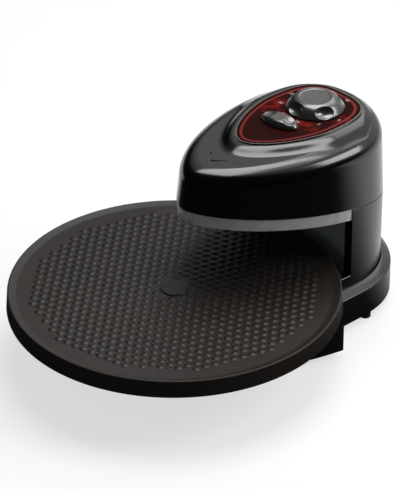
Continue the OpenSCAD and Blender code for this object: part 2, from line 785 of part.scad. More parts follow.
module pan() color(coating) from_pan() difference() {
    rotate_extrude($fn = 2 * fn_round) polygon([
        [0, pan_floor_z], [pan_r - pan_band_w - pan_slope_w, pan_floor_z],
        [pan_r - pan_band_w, pan_rim_z], each rim_arc(rim_round, 1),
        [pan_foot_r, pan_side_z], [pan_foot_r - pan_t, pan_side_z],
        each rim_arc(rim_in_round, -1), [pan_r - pan_band_w + pan_t / 2, pan_rim_z - pan_t],
        [pan_r - pan_band_w - pan_slope_w + pan_t / 2, pan_floor_z - pan_t],
        [0, pan_floor_z - pan_t]]);
    for (p = rivets) translate([p[0], p[1], pan_floor_z - pan_t - 1])
        cylinder(r = rivet_r, h = pan_t + 2, $fn = fn_small);
}

module hub_cap() color(coating) from_pan(pan_floor_z) difference() {
    rotate_extrude($fn = fn_round) polygon([[0, 0], [hub_r, 0], [hub_r, hub_rise - 0.8],
        [hub_r - 0.8, hub_rise], [0, hub_rise]]);
    for (p = rivets) translate([p[0], p[1], -1]) cylinder(r = rivet_r, h = 1.5, $fn = fn_small);
}

socket_flange_h = 2;
module drive_socket() color(steel) from_pan(socket_z) difference() {
    union() {
        cylinder(r = key_r + 4, h = socket_h, $fn = fn_round);
        translate([0, 0, socket_h - socket_flange_h])
            cylinder(r = rivet_ring_r + 2, h = socket_flange_h, $fn = fn_round);
    }
    translate([0, 0, -1]) key(socket_gap, key_h + 2);
    for (p = rivets) translate([p[0], p[1], 0])
        cylinder(r = rivet_r, h = socket_h + 1, $fn = fn_small);
}

module hub_rivets() color(steel) from_pan(pan_floor_z - pan_t - socket_flange_h) for (p = rivets)
    translate([p[0], p[1], 0]) {
        cylinder(r = rivet_r, h = pan_t + socket_flange_h + 0.5, $fn = fn_small);
        translate([0, 0, -0.8]) cylinder(r = rivet_r + 0.9, h = 0.8, $fn = fn_small);
    }

// ------------------------------------------------------------ controls

module control_plate() color("#6e1216") from_pan() difference() {
    prism(plate_outline(), platform_z, plate_z);
    for (y = [timer_y, selector_y]) translate([0, y, platform_z - 1])
        cylinder(r = shaft_hole_r, h = 4, $fn = fn_small);
}

trim_w = 1.2;
module plate_trim() color(steel) from_pan() difference() {
    prism(plate_outline(trim_w), platform_z, plate_z + 0.2);
    prism(plate_outline(), platform_z - 1, plate_z + 1);
}

neck_r = shaft_r + 2;
nut_r = neck_r + 2.5;
nut_h = 1.5;
neck_top_z = plate_z + nut_h + 0.7;
nut_space = 1;
shaft_depth = 14;
shaft_end_gap = 0.5;
shaft_low_z = ceiling_z - shaft_depth;
knob_z = plate_z + turn_gap;
knob_cap = 2;

module control_bore(y) translate([0, y, shaft_low_z])
    cylinder(r = shaft_r + run_gap, h = big, $fn = fn_round);
module control_neck(y) translate([0, y, ceiling_z - eps])
    cylinder(r = neck_r, h = neck_top_z - ceiling_z + eps, $fn = fn_round);
module control_shaft(y, knob_h) color(steel) from_pan() translate([0, y, shaft_low_z + shaft_end_gap])
    cylinder(r = shaft_r, h = knob_z + knob_h - knob_cap - shaft_low_z - shaft_end_gap, $fn = fn_round);

module timer_case() color("#8f9194") from_pan() difference() {
    union() {
        translate([0, timer_y, ceiling_z - timer_case_h])
            cylinder(r = timer_case_r, h = timer_case_h, $fn = fn_round);
        control_neck(timer_y);
    }
    control_bore(timer_y);
}

bell_r = 19;
bell_h = 7;
module timer_bell() color("#c9a24a") from_pan()
    translate([0, timer_y, ceiling_z - timer_case_h - bell_h]) {
    difference() {
        cylinder(r = bell_r, h = bell_h, $fn = fn_round);
        translate([0, 0, -1]) cylinder(r = bell_r - 1, h = bell_h, $fn = fn_round);
    }
    cylinder(r = 2, h = bell_h, $fn = fn_small);
}

switch_h = 18;
tab_pitch = 7;
tab_t = 0.8;
tab_w = 6;
tab_l = 6;
module selector_switch() color("#2a2a2c") from_pan() difference() {
    union() {
        translate([-switch_w / 2, selector_y - switch_w / 2, ceiling_z - switch_h])
            cube([switch_w, switch_w, switch_h]);
        control_neck(selector_y);
        for (i = [-1 : 1]) translate([i * tab_pitch - tab_t / 2, selector_y - tab_w / 2,
            ceiling_z - switch_h - tab_l]) cube([tab_t, tab_w, tab_l + 1]);
    }
    control_bore(selector_y);
}

module shaft_nuts() color(steel) from_pan(plate_z) for (y = [timer_y, selector_y])
    translate([0, y, 0]) difference() {
        cylinder(r = nut_r, h = nut_h, $fn = 6);
        translate([0, 0, -1]) cylinder(r = neck_r, h = 5, $fn = fn_round);
    }

module timer_shaft() control_shaft(timer_y, timer_knob_h);
module selector_shaft() control_shaft(selector_y, selector_knob_h);

// How far the selector's oval stands turned from straight across
selector_turn = 8;

// Knob of the given body, with finger dents pressed into it, hollow over the nut and bored for its shaft
knob_edge = 1.2;
foot_edge = 0.6;
knob_top = 0.66;
module knob(h, dents, dent_r) difference() {
    children();
    for (d = dents) translate(d) sphere(r = dent_r, $fn = fn_round);
    translate([0, 0, -1])
        cylinder(r = nut_r + nut_space, h = neck_top_z - plate_z + 1.5, $fn = fn_round);
    cylinder(r = shaft_r, h = h - knob_cap, $fn = fn_round);
}

timer_dent_r = timer_knob_r * 0.31;
timer_dent_out = timer_knob_r * 1.09;
module timer_knob() color(knob_grey) from_pan(knob_z) translate([0, timer_y, 0]) knob(timer_knob_h,
    [for (i = [0 : timer_scallops - 1]) let (a = i * 360 / timer_scallops - 90)
        [timer_dent_out * cos(a), timer_dent_out * sin(a), timer_knob_h * 0.42]], timer_dent_r)
    rotate_extrude($fn = fn_round) polygon([[0, 0], [timer_knob_r - foot_edge, 0],
        [timer_knob_r, foot_edge], [timer_knob_r, 3 * foot_edge],
        [timer_knob_r * knob_top + knob_edge * 0.7, timer_knob_h - knob_edge],
        [timer_knob_r * knob_top - knob_edge * 0.4, timer_knob_h], [0, timer_knob_h]]);

// Ring of the selector's oval, drawn in by a share and an inset
function oval(share, inset, z) = [for (i = [0 : fn_round - 1]) let (a = 360 * i / fn_round)
    [(selector_knob_r * share - inset) * cos(a), (selector_knob_w * share - inset) * sin(a), z]];
selector_dent_r = selector_knob_w * 0.56;
selector_dent = [selector_knob_r * 0.5, selector_knob_w * 1.2, selector_knob_h * 0.5];
module selector_knob() color(knob_grey) from_pan(knob_z) translate([0, selector_y, 0])
    rotate(selector_turn) knob(selector_knob_h,
        [for (i = [-1, 1], j = [-1, 1]) [i * selector_dent[0], j * selector_dent[1], selector_dent[2]]],
        selector_dent_r)
        skin([oval(1, foot_edge, 0), oval(1, 0, foot_edge), oval(1, 0, 3 * foot_edge),
            oval(knob_top, -knob_edge * 0.7, selector_knob_h - knob_edge),
            oval(knob_top, knob_edge * 0.4, selector_knob_h)]);

block_w = 44;
block_t = 12;
block_h = 16;
block_up = 30;
module terminal_block() color(ceramic) from_pan() difference() {
    translate([-block_w / 2, chassis_y + chassis_t, cover_z + block_up])
        cube([block_w, block_t, block_h]);
    for (i = [-1 : 1]) translate([i * block_w * 0.3, chassis_y + chassis_t + block_t / 2,
        cover_z + block_up + block_h / 2]) cylinder(r = 3.5, h = block_h, $fn = fn_small);
}

// ------------------------------------------------------------ nodes

head_shell();
tower_shell();
plinth();
heater_housing();
bottom_cover();
rubber_feet();
cover_screws();
heat_band();
upper_reflector();
upper_element();
upper_element_clips();
heat_shield();
chamber_wall();
lower_reflector();
lower_element();
lower_element_clips();
chassis();
head_screws();
drive_motor();
motor_screws();
spindle_bush();
drive_spindle();
pan();
hub_cap();
drive_socket();
hub_rivets();
control_plate();
plate_trim();
timer_case();
timer_bell();
timer_shaft();
timer_knob();
selector_switch();
selector_shaft();
selector_knob();
shaft_nuts();
thermal_cutout();
terminal_block();
cord_bushing();
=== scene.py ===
"""Looks of the rotating countertop pizza oven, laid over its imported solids.

Metres, +Z up, the table at z = 0, +Y from the pan towards the tower. Outlines and profiles are in
millimetres, counted from the pan's axis and from the table.
"""
import math

import bmesh
import bpy
from bpy.props import FloatProperty, PointerProperty, StringProperty
from mathutils import Matrix, Vector


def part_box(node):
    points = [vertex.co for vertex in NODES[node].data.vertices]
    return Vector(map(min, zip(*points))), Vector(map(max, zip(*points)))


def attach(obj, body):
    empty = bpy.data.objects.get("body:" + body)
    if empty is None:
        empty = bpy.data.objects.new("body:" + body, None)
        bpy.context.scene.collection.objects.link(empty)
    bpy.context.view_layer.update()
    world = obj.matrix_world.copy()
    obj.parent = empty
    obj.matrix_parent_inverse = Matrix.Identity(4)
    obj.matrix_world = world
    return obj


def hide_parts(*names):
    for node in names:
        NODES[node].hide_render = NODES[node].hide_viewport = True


bl_info = {
    "name": "Rotating pizza oven",
    "version": (1, 0, 0),
    "blender": (4, 5, 0),
    "location": "View3D > Sidebar > Pizza Oven",
    "description": "Finishes and fine pieces of a rotating countertop pizza oven",
    "category": "Object",
}

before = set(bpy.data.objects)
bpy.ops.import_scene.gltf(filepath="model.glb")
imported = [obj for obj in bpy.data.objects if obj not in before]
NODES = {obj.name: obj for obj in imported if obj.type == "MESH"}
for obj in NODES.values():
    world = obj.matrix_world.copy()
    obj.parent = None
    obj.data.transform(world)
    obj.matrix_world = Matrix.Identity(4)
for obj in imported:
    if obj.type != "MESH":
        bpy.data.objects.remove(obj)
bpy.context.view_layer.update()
MM = 0.001


def middle(node):
    """Middle of a node's box."""
    low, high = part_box(node)
    return (low + high) / 2


PAN_AXIS = Vector((0, middle("hub_cap").y, 0))
TIMER_AXIS = Vector((0, middle("timer_shaft").y, 0))
SELECTOR_AXIS = Vector((0, middle("selector_shaft").y, 0))
FLOOR_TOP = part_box("hub_cap")[0].z
PLATE_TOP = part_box("control_plate")[1].z
# thickness of the moulded walls, and where along Y the mouth and the low walls beside it begin
WALL, MOUTH, AHEAD = 2.5, 169.98, 119.98
# a place behind everything along Y
BEHIND = 400
# level direction behind the object: for mirror rays the floor glows white that way, a painted reflection of a
# white sweep, and is darkened the other way as painted shade
SWEEP = Vector((-0.42, 0.907, 0.0))
# sockets of a Mix node that mixes colours, and its result
COLOUR_A, COLOUR_B, COLOUR_OUT = 6, 7, 2
# a pattern that isn't stretched
EVEN = (1, 1, 1)


# ------------------------------------------------------------ small helpers

def linear(code):
    """sRGB hex colour as a linear RGBA tuple."""
    parts = [int(code[i:i + 2], 16) / 255 for i in (1, 3, 5)]
    return tuple(c / 12.92 if c <= 0.04045 else ((c + 0.055) / 1.055) ** 2.4 for c in parts) + (1.0,)


def fill(tree, node, inputs):
    """Sets a node's inputs by socket name or number. Each is a value, another node's output, or
    another node for its first output."""
    for key, value in inputs.items():
        if isinstance(value, bpy.types.Node):
            value = value.outputs[0]
        if isinstance(value, bpy.types.NodeSocket):
            tree.links.new(value, node.inputs[key])
        else:
            node.inputs[key].default_value = value


def add(tree, kind, inputs=None, stops=(), **settings):
    """Adds a node with its inputs; a kind without "Node" in it is a shader node's. A colour ramp takes
    its stops as (position, hex colour)."""
    node = tree.nodes.new(kind if "Node" in kind else "ShaderNode" + kind)
    for name, value in settings.items():
        setattr(node, name, value)
    for number, (position, code) in enumerate(stops):
        band = node.color_ramp.elements
        stop = band[number] if number < len(band) else band.new(position)
        stop.position = position
        stop.color = linear(code)
    fill(tree, node, inputs or {})
    return node


def material(name):
    """A new material: with its tree, its Principled shader and the piece's own coordinates."""
    made = bpy.data.materials.new(name)
    made.use_nodes = True
    tree = made.node_tree
    tree.nodes.clear()
    shader = add(tree, "BsdfPrincipled")
    add(tree, "OutputMaterial", {"Surface": shader})
    return made, tree, shader, add(tree, "TexCoord").outputs["Object"]


def new_object(name, mesh):
    """Links a mesh to the scene as an object that sits at the origin."""
    made = bpy.data.objects.new(name, mesh)
    bpy.context.scene.collection.objects.link(made)
    return made


def give(names, finish):
    """Gives carried-over nodes a finish through their material slots."""
    for name in names:
        slots = NODES[name].data.materials
        slots.clear()
        slots.append(finish)


def soften(mesh, angle):
    """Smooth shading, with edges sharp from an angle in degrees."""
    for face in mesh.polygons:
        face.use_smooth = True
    mesh.set_sharp_from_angle(angle=math.radians(angle))


def applied(made):
    """New mesh of an object with its modifiers applied."""
    bpy.context.view_layer.update()
    return bpy.data.meshes.new_from_object(made.evaluated_get(bpy.context.evaluated_depsgraph_get()))


def stands_for(piece, node, body):
    """A finished piece takes the place of a node."""
    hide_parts(node)
    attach(piece, body)


def smooth_skin(node, piece, finish, body, angle, bevel=0.0):
    """A merged copy of a node with smooth faces and, where asked, softened edges."""
    mesh = NODES[node].data.copy()
    mesh.name = piece
    shape = bmesh.new()
    shape.from_mesh(mesh)
    bmesh.ops.remove_doubles(shape, verts=shape.verts, dist=2e-6)
    bmesh.ops.dissolve_degenerate(shape, edges=shape.edges, dist=2e-6)
    if bevel:
        bmesh.ops.dissolve_limit(shape, angle_limit=math.radians(1), verts=shape.verts, edges=shape.edges)
    shape.to_mesh(mesh)
    shape.free()
    mesh.materials.clear()
    mesh.materials.append(finish)
    made = new_object(piece, mesh)
    if bevel:
        edge = made.modifiers.new("Softened edges", "BEVEL")
        edge.width = bevel
        edge.segments = 2
        edge.limit_method = "ANGLE"
        edge.angle_limit = math.radians(40)
        edge.harden_normals = False
    soften(mesh, angle)
    stands_for(made, node, body)


def circle(x, y, radius, count):
    """Points of a circle in plan."""
    turns = [2 * math.pi * i / count for i in range(count)]
    return [(x + radius * math.cos(t), y + radius * math.sin(t)) for t in turns]


def teardrop(half, nose, wide, rear, front, back, steps=64):
    """Outline that swells from a nose to its widest place and closes at the rear, counted from
    the pan's axis in millimetres. Powers front and back are (along, across)."""
    side = []
    for i in range(steps + 1):
        along = math.cos(math.pi / 2 * i / steps) ** (2 / front[0])
        side.append((half * max(0.0, 1 - along ** front[0]) ** (1 / front[1]), wide - (wide - nose) * along))
    for i in range(1, steps + 1):
        along = math.sin(math.pi / 2 * i / steps) ** (2 / back[0])
        side.append((half * max(0.0, 1 - along ** back[0]) ** (1 / back[1]), wide + (rear - wide) * along))
    return side + [(-x, y) for x, y in side[-2:0:-1]]


def head_line(inset):
    """The head's outline, drawn in by an inset."""
    return teardrop(half=83 - inset, nose=12 + inset, wide=171.98, rear=266.98 - inset,
                    front=(1.87, 1.6), back=(2.4, 1.6))


def plate_line(grow):
    """The control plate's outline, grown by an amount."""
    return teardrop(half=46.5 + grow, nose=90.48 - grow, wide=170.48, rear=235.98 + grow,
                    front=(1.5, 1.75), back=(3.2, 3.0))


def seam(y):
    """Height of the tilted seam between head and tower."""
    return 136.5 + (171.98 - y) * math.tan(math.radians(9.4))


def level(line, z):
    """Ring at one height over an outline."""
    return [(x, y, z) for x, y in line]


def between(low, high, share):
    """Ring part of the way from one ring to another."""
    return [tuple(a + (b - a) * share for a, b in zip(p, q)) for p, q in zip(low, high)]


def spaced(line, count):
    """Points at even steps along an open line."""
    far = [0.0]
    for (x0, y0), (x1, y1) in zip(line, line[1:]):
        far.append(far[-1] + math.hypot(x1 - x0, y1 - y0))
    made, k = [], 0
    for i in range(count):
        goal = far[-1] * i / (count - 1)
        while k < len(far) - 2 and far[k + 1] < goal:
            k += 1
        share = (goal - far[k]) / (far[k + 1] - far[k])
        made.append(tuple(a + (b - a) * share for a, b in zip(line[k], line[k + 1])))
    return made


def stretch_of(line, low, high, right_only=False):
    """The stretch of an outline between two places along Y, with its ends cut exactly."""
    closed = line + [line[0]]
    kept = []
    for (x0, y0), (x1, y1) in zip(closed, closed[1:]):
        cuts = sorted((g - y0) / (y1 - y0) for g in (low, high) if (g - y0) * (y1 - g) > 0)
        for share in [0.0] + cuts:
            point = (x0 + (x1 - x0) * share, y0 + (y1 - y0) * share)
            if low - 1e-6 <= point[1] <= high + 1e-6 and (point[0] > 0 or not right_only):
                kept.append(point)
    return kept


class Shell:
    """Collects closed rings and closed loops in millimetres from the pan's axis as one mesh."""

    def __init__(self):
        self.shape = bmesh.new()

    def ring(self, points):
        return [self.shape.verts.new((x * MM, y * MM + PAN_AXIS.y, z * MM)) for x, y, z in points]

    def wall(self, rings, closed=False):
        """Faces between rings in turn; closed joins the last ring to the first."""
        made = [self.ring(points) for points in rings]
        pairs = list(zip(made, made[1:])) + ([(made[-1], made[0])] if closed else [])
        for low, high in pairs:
            count = len(low)
            for i in range(count):
                j = (i + 1) % count
                self.shape.faces.new((low[i], low[j], high[j], high[i]))
        return made

    def cap(self, ring):
        self.shape.faces.new(ring)

    def solid(self, rings):
        """Wall between rings with both ends capped."""
        made = self.wall(rings)
        self.cap(made[0])
        self.cap(made[-1])

    def band(self, outer_rings, inner_rings):
        """Closed wall along an open path: outer rings going up, inner rings of the same count."""
        loops = [list(o) + list(reversed(i)) for o, i in zip(outer_rings, inner_rings)]
        made = self.wall(loops)
        half = len(outer_rings[0])
        for loop in (made[0], made[-1]):
            for i in range(half - 1):
                self.shape.faces.new((loop[i], loop[i + 1], loop[2 * half - 2 - i], loop[2 * half - 1 - i]))

    def tube(self, x, y, z0, z1, radius=4.5, bore=1.5):
        """Closed screw boss with a bore through it."""
        self.wall([level(circle(x, y, r, 24), z)
                   for r, z in [(radius, z0), (radius, z1), (bore, z1), (bore, z0)]], closed=True)

    def finish(self, name, finish, angle=28):
        """Turns what was collected into an object."""
        bmesh.ops.recalc_face_normals(self.shape, faces=self.shape.faces)
        mesh = bpy.data.meshes.new(name)
        self.shape.to_mesh(mesh)
        self.shape.free()
        mesh.materials.append(finish)
        soften(mesh, angle)
        return new_object(name, mesh)


def carve(piece, cutter, angle):
    """Cuts one closed mesh out of another and keeps the result as a plain mesh."""
    tool = piece.modifiers.new("Carved", "BOOLEAN")
    tool.operation = "DIFFERENCE"
    tool.object = cutter
    tool.solver = "EXACT"
    mesh = applied(piece)
    mesh.name = piece.name
    piece.modifiers.clear()
    piece.data = mesh
    bpy.data.objects.remove(cutter)
    soften(mesh, angle)


# ------------------------------------------------------------ finishes

def surface(name, noises, sockets, relief=None, rough=None, tint=None):
    """A material over named noises in the piece's own coordinates, each (grain in mm, detail,
    roughness, stretch). Relief is (noise, strength, depth in mm), rough is (noise, least, most) and
    tint is (noise, stops of a colour ramp)."""
    made, tree, shader, place = material(name)
    for label, (grain, detail, roughness, stretch) in noises.items():
        noises[label] = add(tree, "TexNoise", {
            "Vector": add(tree, "Mapping", {"Vector": place, "Scale": stretch}),
            "Scale": 1 / (grain * MM), "Detail": detail, "Roughness": roughness}, name=label)
    if relief:
        sockets["Normal"] = add(tree, "Bump", {
            "Height": noises[relief[0]], "Strength": relief[1], "Distance": relief[2] * MM})
    if rough:
        sockets["Roughness"] = add(tree, "MapRange", {
            "Value": noises[rough[0]], "To Min": rough[1], "To Max": rough[2]})
    if tint:
        sockets["Base Color"] = add(tree, "ValToRGB", {"Fac": noises[tint[0]]}, stops=tint[1])
    fill(tree, shader, sockets)
    return made


def polished_abs(name, colour, roughness):
    """ABS moulded in a polished tool. The gloss is high, and a faint long ripple from
    shrinkage bends the reflections; handling leaves slightly duller patches."""
    return surface(name, {"ripple": (14, 1.0, 0.4, EVEN), "patches": (30, 3.0, 0.5, EVEN)},
                   {"Base Color": linear(colour), "IOR": 1.6}, relief=("ripple", 0.12, 0.08),
                   rough=("patches", roughness - 0.02, roughness + 0.03))


def textured_plastic(name, colour):
    """Polypropylene moulded in a spark-eroded tool. The fine grain, about 0.3 mm on the real
    one and drawn at 0.6 mm so that it shows, breaks up the gloss."""
    return surface(name, {"pits": (0.6, 2.0, 0.5, EVEN)}, {"Base Color": linear(colour), "IOR": 1.49},
                   relief=("pits", 0.25, 0.03), rough=("pits", 0.49, 0.61))


def moulded_rubber(name, colour):
    """Nitrile rubber pressed in a sandblasted mould: dull, with a bloom of lighter dust."""
    return surface(name, {"bloom": (2, 4.0, 0.5, EVEN)}, {"Roughness": 0.75, "IOR": 1.52},
                   tint=("bloom", [(0.3, colour), (0.8, "#2a2a2a")]))


def lined_metal(name, colour, tint, roughness, stretch, strength, metal=1.0):
    """Sheet metal, rolled, belt-brushed or polished. The lines that this leaves, about 0.1 mm apart on
    the real one and drawn at 0.5 mm, run along the sheet and stretch each reflection across it."""
    return surface(name, {"lines": (0.5, 2.0, 0.5, stretch), "clouds": (9, 4.0, 0.6, EVEN)},
                   {"Metallic": metal}, relief=("lines", strength, 0.02),
                   rough=("lines", roughness - 0.05, roughness + 0.07),
                   tint=("clouds", [(0.32, tint), (0.62, colour)]))


def plated_steel(name, colour):
    """Turned steel with zinc plating: bright, with faint dull patches."""
    return surface(name, {"patches": (3, 3.0, 0.5, EVEN)}, {"Metallic": 1.0},
                   rough=("patches", 0.22, 0.42), tint=("patches", [(0.2, "#8d8e90"), (0.8, colour)]))


def turned_brass(name):
    """Machined brass, a little dulled by heat."""
    return surface(name, {"patches": (4, 3.0, 0.5, EVEN)}, {"Metallic": 1.0, "Roughness": 0.32},
                   tint=("patches", [(0.25, "#8a6a34"), (0.75, "#c9a55c")]))


def oxidised_sheath(name):
    """Nickel-alloy heater tube after use: a dark oxide skin with bluish and brown temper."""
    return surface(name, {"temper": (26, 3.0, 0.5, EVEN), "scale": (0.8, 3.0, 0.5, EVEN)},
                   {"Metallic": 0.55, "Roughness": 0.5}, relief=("scale", 0.3, 0.03),
                   tint=("temper", [(0.3, "#2b2724"), (0.5, "#33343a"), (0.7, "#3a3029")]))


def nonstick_coating(name, colour, roughness):
    """Sprayed PTFE non-stick on pressed aluminium. The baked spray leaves an orange-peel
    skin, about 0.4 mm on the real one and drawn at 0.9 mm, and sparse lighter flecks."""
    made = surface(name, {"skin": (0.9, 2.0, 0.5, EVEN), "cloud": (45, 3.0, 0.5, EVEN)},
                   {"IOR": 1.36, "Specular IOR Level": 0.4}, relief=("skin", 0.3, 0.04),
                   rough=("cloud", roughness - 0.04, roughness + 0.06))
    tree = made.node_tree
    base = add(tree, "Mix", {"Factor": tree.nodes["cloud"], COLOUR_A: linear(colour),
                                       COLOUR_B: linear("#2a2521")}, data_type="RGBA")
    flecks = add(tree, "ValToRGB", {"Fac": tree.nodes["skin"]},
                 stops=[(0.62, "#000000"), (0.78, "#ffffff")])
    mixed = add(tree, "Mix", {"Factor": flecks, COLOUR_A: base.outputs[COLOUR_OUT],
                                        COLOUR_B: linear("#3a3733")}, data_type="RGBA")
    fill(tree, tree.nodes["Principled BSDF"], {"Base Color": mixed.outputs[COLOUR_OUT]})
    return made


def metallic_paint(name, colour, light, roughness):
    """ABS sprayed with metallic paint: aluminium flake about 0.1 mm across, drawn at 0.4 mm,
    gives a soft pearly grey."""
    made, tree, shader, place = material(name)
    flake = add(tree, "TexVoronoi", {"Vector": place, "Scale": 1 / (0.4 * MM)})
    tone = add(tree, "ValToRGB", {"Fac": flake}, stops=[(0.1, light), (0.7, colour)])
    fill(tree, shader, {"Base Color": tone, "Metallic": 0.85, "Roughness": roughness,
                        "Coat Weight": 0.25, "Coat Roughness": 0.12})
    return made


def screen_print(name, dark, bright, centres):
    """Polycarbonate overlay, screen printed on its back. A coarse dot screen, 1.2 mm, fades
    from deep maroon to brighter red around the knobs. Its clear face hardly mirrors."""
    made, tree, shader, place = material(name)
    glow = 0.0
    for centre, reach in centres:
        far = add(tree, "VectorMath", {0: place, 1: centre}, operation="DISTANCE")
        spot = add(tree, "MapRange", {"Value": far.outputs["Value"], "From Min": reach * 0.4,
                                                "From Max": reach * 1.5, "To Min": 1.0, "To Max": 0.0})
        glow = add(tree, "Math", {0: glow, 1: spot}, operation="MAXIMUM")
    cloud = add(tree, "TexNoise", {"Vector": place, "Scale": 1 / (9 * MM), "Detail": 2.0})
    thin = add(tree, "ValToRGB", {"Fac": cloud}, stops=[(0.38, "#101010"), (0.62, "#ffffff")])
    dots = add(tree, "TexVoronoi", {"Vector": place, "Scale": 1 / (1.2 * MM), "Randomness": 0.0})
    ink = add(tree, "MapRange", {"Value": dots, "To Min": 1.25, "To Max": 0.35})
    broken = add(tree, "Math", {0: glow, 1: thin}, operation="MULTIPLY")
    screen = add(tree, "Math", {0: broken, 1: ink}, operation="MULTIPLY", use_clamp=True)
    tone = add(tree, "ValToRGB", {"Fac": screen}, stops=[(0.0, dark), (1.0, bright)])
    fill(tree, shader, {"Base Color": tone, "Roughness": 0.35, "Specular IOR Level": 0.01, "IOR": 1.58})
    return made


def printed_ink(name, colour):
    """Screen-printing ink, slightly uneven where the mesh let less through."""
    made, tree, shader, place = material(name)
    marks = add(tree, "TexNoise", {"Vector": place, "Scale": 1 / (0.7 * MM), "Detail": 2.0})
    full = linear(colour)
    thin = tuple(c * 0.7 for c in full[:3]) + (1.0,)
    mixed = add(tree, "Mix", {"Factor": marks, COLOUR_A: thin, COLOUR_B: full}, data_type="RGBA")
    fill(tree, shader, {"Base Color": mixed.outputs[COLOUR_OUT], "Roughness": 0.35,
                        "Specular IOR Level": 0.1})
    return made


def fired_ceramic(name):
    """Steatite, pressed and fired without glaze: chalky off-white with tan firing marks."""
    return surface(name, {"marks": (5, 5.0, 0.5, EVEN)}, {"Roughness": 0.7},
                   tint=("marks", [(0.35, "#cdc3ad"), (0.6, "#e4dfd2")]))


# ------------------------------------------------------------ settings

def tone(name, about, default):
    """A colour setting, as a hex code."""
    return StringProperty(name=name, description=about, default=default)


def amount(name, about, default, **limits):
    """A number setting; lengths are in metres."""
    return FloatProperty(name=name, description=about, default=default, **limits)


class StageSettings(bpy.types.PropertyGroup):
    """Floor, lights and camera."""
    floor: tone("Floor colour", "Colour of the floor", "#a3a2a1")
    lift: amount("Floor lift", "How much the floor is raised to white in view", 0.66, min=0.0, max=1.0)
    overhead: amount("Overhead lamp", "Power of the softbox overhead", 16.0, min=0.0, unit="POWER")
    rear: amount("Rear lamp", "Power of the large dim softbox behind", 5.5, min=0.0, unit="POWER")
    side: amount("Side lamp", "Power of the softbox at the right", 14.0, min=0.0, unit="POWER")
    sky: amount("Surroundings", "Strength of the light all round", 0.15, min=0.0)
    lens: amount("Lens", "Focal length of the camera in millimetres", 203.3, min=50.0, unit="CAMERA")


class ShellSettings(bpy.types.PropertyGroup):
    """Moulded shells."""
    gloss: tone("Head colour", "Colour of the head's plastic", "#040405")
    satin: tone("Tower colour", "Colour of the tower's plastic", "#0e0e0f")
    head_roughness: amount("Head roughness", "Roughness of the head's plastic", 0.16, min=0.05, max=1.0)
    tower_roughness: amount("Tower roughness", "Roughness of the tower", 0.26, min=0.05, max=1.0)


class PanSettings(bpy.types.PropertyGroup):
    """Pan with its field of dimples."""
    spacing: amount("Dimple spacing", "Between neighbouring dimples", 0.0101, min=0.004, unit="LENGTH")
    height: amount("Dimple height", "How far a dimple stands up", 0.0012, min=0.0002, unit="LENGTH")
    radius: amount("Dimple radius", "Radius of a dimple at its foot", 0.0046, min=0.001, unit="LENGTH")
    field: amount("Field radius", "Radius of the dimpled field", 0.1505, min=0.05, unit="LENGTH")
    turn: amount("Field turn", "Turn of the rows of dimples", math.radians(13), unit="ROTATION")
    colour: tone("Coating colour", "Colour of the non-stick coating", "#1f1b18")
    roughness: amount("Coating roughness", "Roughness of the coating", 0.4, min=0.05, max=1.0)


class PlateSettings(bpy.types.PropertyGroup):
    """Control plate and its print."""
    ring_in: amount("Ring inset", "From the plate's edge to the red ring", 0.0036, min=0.0, unit="LENGTH")
    ring_w: amount("Ring width", "Width of the red ring", 0.0028, min=0.0005, unit="LENGTH")
    dark: tone("Plate colour", "Deep colour of the plate", "#260b09")
    bright: tone("Glow colour", "Colour round the knobs", "#8c1a12")
    ring: tone("Ring colour", "Colour of the printed ring", "#741515")
    figure: amount("Figure height", "Height of the figures on the dial", 0.0042, min=0.001, unit="LENGTH")


class KnobSettings(bpy.types.PropertyGroup):
    """Timer knob and heat selector knob."""
    colour: tone("Knob colour", "Colour of the knobs", "#4a4a4a")
    light: tone("Flake colour", "Colour of the flakes", "#7c7b78")
    roughness: amount("Knob roughness", "Roughness of the knobs' paint", 0.27, min=0.05, max=1.0)
    selector_turn: amount("Selector rest", "Rest turn of the selector in degrees", 8.0)


# ------------------------------------------------------------ operators

